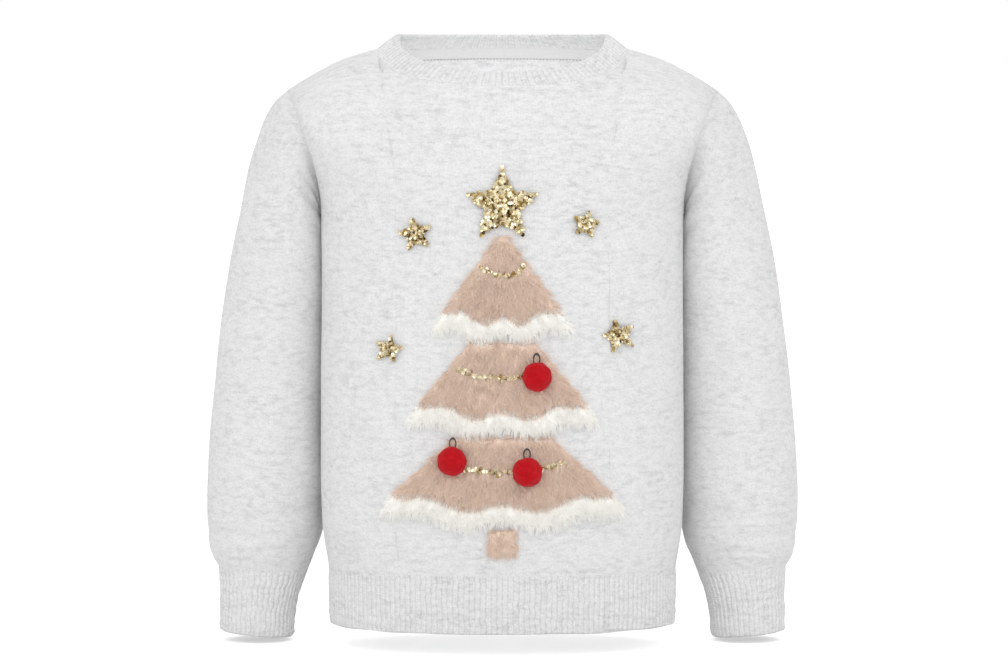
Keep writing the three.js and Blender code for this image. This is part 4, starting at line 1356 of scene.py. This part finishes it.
def tape_piece():
    share, down = np.meshgrid(np.linspace(-1, 1, 90), np.linspace(0, 1, 8))
    x = share * TAPE["half"]
    height = top_height(BACK, np.abs(x)) - TAPE["drop"] - TAPE["width"] * down
    under = panel_point(BACK, x, height)
    normals = panel_normal(BACK, x, height)
    outer = under - normals * (CLOTH + 0.35)
    inner = outer - normals * TAPE["thick"] * (0.6 + 0.4 * np.sin(np.pi * down)[..., None])
    return wall_object("neck_tape_cloth", inner, outer, np.stack([x, height], -1), False, TAPE_CLOTH)


def stitch_row(name):
    """The line of stitches that holds the tape's lower edge: one short spindle after another, in a grey that
    also paints the thin shade line under that edge.
    """
    places = np.arange(-TAPE["half"] + 1, TAPE["half"] - 1, STITCH_PITCH)
    ends = []
    for start in (places, places + STITCH_LENGTH):
        height = top_height(BACK, np.abs(start)) - TAPE["drop"] - TAPE["width"] - 0.2
        normal = panel_normal(BACK, start, height)
        ends.append(panel_point(BACK, start, height) - normal * (CLOTH + 0.55))
    middle = (ends[0] + ends[1]) / 2
    up = np.array([0, 0, STITCH_RADIUS])
    out = np.array([0, STITCH_RADIUS, 0])
    points = np.stack([ends[0], ends[1], middle + up, middle + out, middle - up, middle - out], 1)
    faces = np.array([(0, 2, 3), (0, 3, 4), (0, 4, 5), (0, 5, 2), (1, 3, 2), (1, 4, 3), (1, 5, 4), (1, 2, 5)])
    faces = faces + (np.arange(len(places)) * 6)[:, None, None]
    uv = points[..., [0, 2]]
    return mesh_object(name, points, faces.reshape(-1, 3), uv, [SEAM_THREAD_PAINTED_SHADE], False)


# Everything in place
panels = {FRONT: panel_piece(FRONT, "front_knit"), BACK: panel_piece(BACK, "back_knit")}
hems = {FRONT: hem_piece(FRONT, "hem_front_rib"), BACK: hem_piece(BACK, "hem_back_rib")}
sleeves = {
    "left": sleeve_piece("sleeve_left_knit", 1, 21),
    "right": sleeve_piece("sleeve_right_knit", -1, 22),
}
cuffs = {"left": cuff_piece("cuff_left_rib", 1, 31), "right": cuff_piece("cuff_right_rib", -1, 32)}
collar = collar_piece()
neck_tape = tape_piece()
tape_stitches = stitch_row("neck_tape_stitches")

soft = []
brushed = {}


def brush(piece_name, made, count, seed, reach=LONG_WISPS):
    brushed[made[0].name] = wisps(piece_name, made, count, seed, reach)


for side, word in ((FRONT, "front"), (BACK, "back")):
    brush(f"{word}_wisps", panels[side], 26000 if side == FRONT else 22000, 41 + side)
    brush(f"hem_{word}_wisps", hems[side], 3500, 51 + side, SHORT_WISPS)
for number, word in enumerate(("left", "right")):
    brush(f"sleeve_{word}_wisps", sleeves[word], 17000, 61 + number)
    brush(f"cuff_{word}_wisps", cuffs[word], 2200, 71 + number, SHORT_WISPS)
brush("collar_wisps", collar, 3000, 81, SHORT_WISPS)

pads = {}
piles = {}
for number, (word, tier) in enumerate(TIERS.items()):
    edge = word + "_edge"
    pads[word] = pad_piece(word + "_pad", tier_place, tier, 61, 31, TAUPE)
    pads[edge] = pad_piece(edge + "_pad", edge_place, tier, 81, 13, CREAM)
    area = (tier["top_half"] + tier["bottom_half"]) * (tier["top"] - tier["bottom"])
    piles[word] = [
        plush(word + "_pile", pads[word], int(area * 1.9), 91 + number, (4.5, 8.5), TAUPE, tier),
        garland_piece(word + "_garland", tier, 111 + number),
    ]
    piles[edge] = [
        plush(edge + "_pile", pads[edge], int(tier["bottom_half"] * 52), 101 + number, (4.5, 8.0), CREAM),
    ]
pads["fir_trunk"] = pad_piece("fir_trunk_pad", trunk_place, None, 15, 13, TAUPE)
piles["fir_trunk"] = [plush("fir_trunk_pile", pads["fir_trunk"], 700, 97, (3.5, 6.0), TAUPE)]

stars = {name: star_piece(name, star, 121 + k) for k, (name, star) in enumerate(STARS.items())}
balls = {name: ball_piece(name + "_wool", ball, 131 + k) for k, (name, ball) in enumerate(BALLS.items())}
for name, (_, fuzz, centre, normal) in balls.items():
    soft += [fuzz, loop_piece(name + "_loop", centre, normal, BALLS[name]["radius"])]


# Which of the model's parts each piece stands in for and hides, and what it rides on
def dressed(piece, slot, *nodes):
    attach(piece, "root")
    if nodes:
        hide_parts(*nodes)


for side, word in ((FRONT, "front"), (BACK, "back")):
    dressed(panels[side][0], "jersey", word)
    dressed(hems[side][0], "rib", "hem_" + word)
for word in ("left", "right"):
    dressed(sleeves[word][0], "jersey", "sleeve_" + word, "sleeve_head_" + word)
    dressed(cuffs[word][0], "rib", "cuff_" + word)
dressed(collar[0], "rib", "collar")
dressed(neck_tape, "tape", "neck_tape")
dressed(tape_stitches, "tape")
for word, pad in pads.items():
    slot = "cream_plush" if word.endswith("_edge") else "taupe_plush"
    dressed(pad[0], slot, word)
    for piece in piles[word]:
        dressed(piece, "gold_sequins" if piece.name.endswith("_garland") else slot)
for word, (base, discs) in stars.items():
    dressed(base, "gold_sequins", word)
    dressed(discs, "gold_sequins")
for word, (ball, _, _, _) in balls.items():
    dressed(ball, "red_felt", word)
for piece in soft:
    dressed(piece, "red_felt")

# The brushed fibres of each knitted piece ride on the root too; the tiers' and stars' flat areas are worked
# out but not used
ribs = (hems[FRONT], hems[BACK], cuffs["left"], cuffs["right"], collar)
knitted = [panels[FRONT], panels[BACK], hems[FRONT], hems[BACK], sleeves["left"], sleeves["right"],
           cuffs["left"], cuffs["right"], collar]
for k, made in enumerate(knitted):
    fibres = brushed[made[0].name]
    dressed(fibres, "rib" if any(made is rib for rib in ribs) else "jersey")


for word, tier in TIERS.items():
    half, drop = tier["bottom_half"], tier["top"] - tier["bottom"]
    area = (tier["top_half"] + half) * drop + 4 / 3 * half * tier["dip"]
for name, (base, discs) in stars.items():
    reach = STARS[name]["radius"] * STAR_BASE_SHARE
    area = 5 * STAR_WAIST * math.sin(math.pi / 5) * reach**2

bpy.ops.object.select_all(action="DESELECT")
FLOOR_HEIGHT = -17.5
bpy.ops.mesh.primitive_plane_add(size=40, location=placed((0, 0, FLOOR_HEIGHT)))
floor = bpy.context.object
floor.name = "pale_floor"


def floor_material():
    material = bpy.data.materials.new("pale_floor")
    material.use_nodes = True
    tree = material.node_tree
    shader = tree.nodes["Principled BSDF"]
    shader.inputs["Base Color"].default_value = (0.93, 0.93, 0.93, 1)
    shader.inputs["Roughness"].default_value = 0.9
    shader.inputs["Specular IOR Level"].default_value = 0.1
    shader.inputs["Emission Color"].default_value = (1, 1, 1, 1)
    tree.links.new(seen_or_lit(tree, 0.50, 0.0), shader.inputs["Emission Strength"])
    return material


floor.data.materials.append(floor_material())
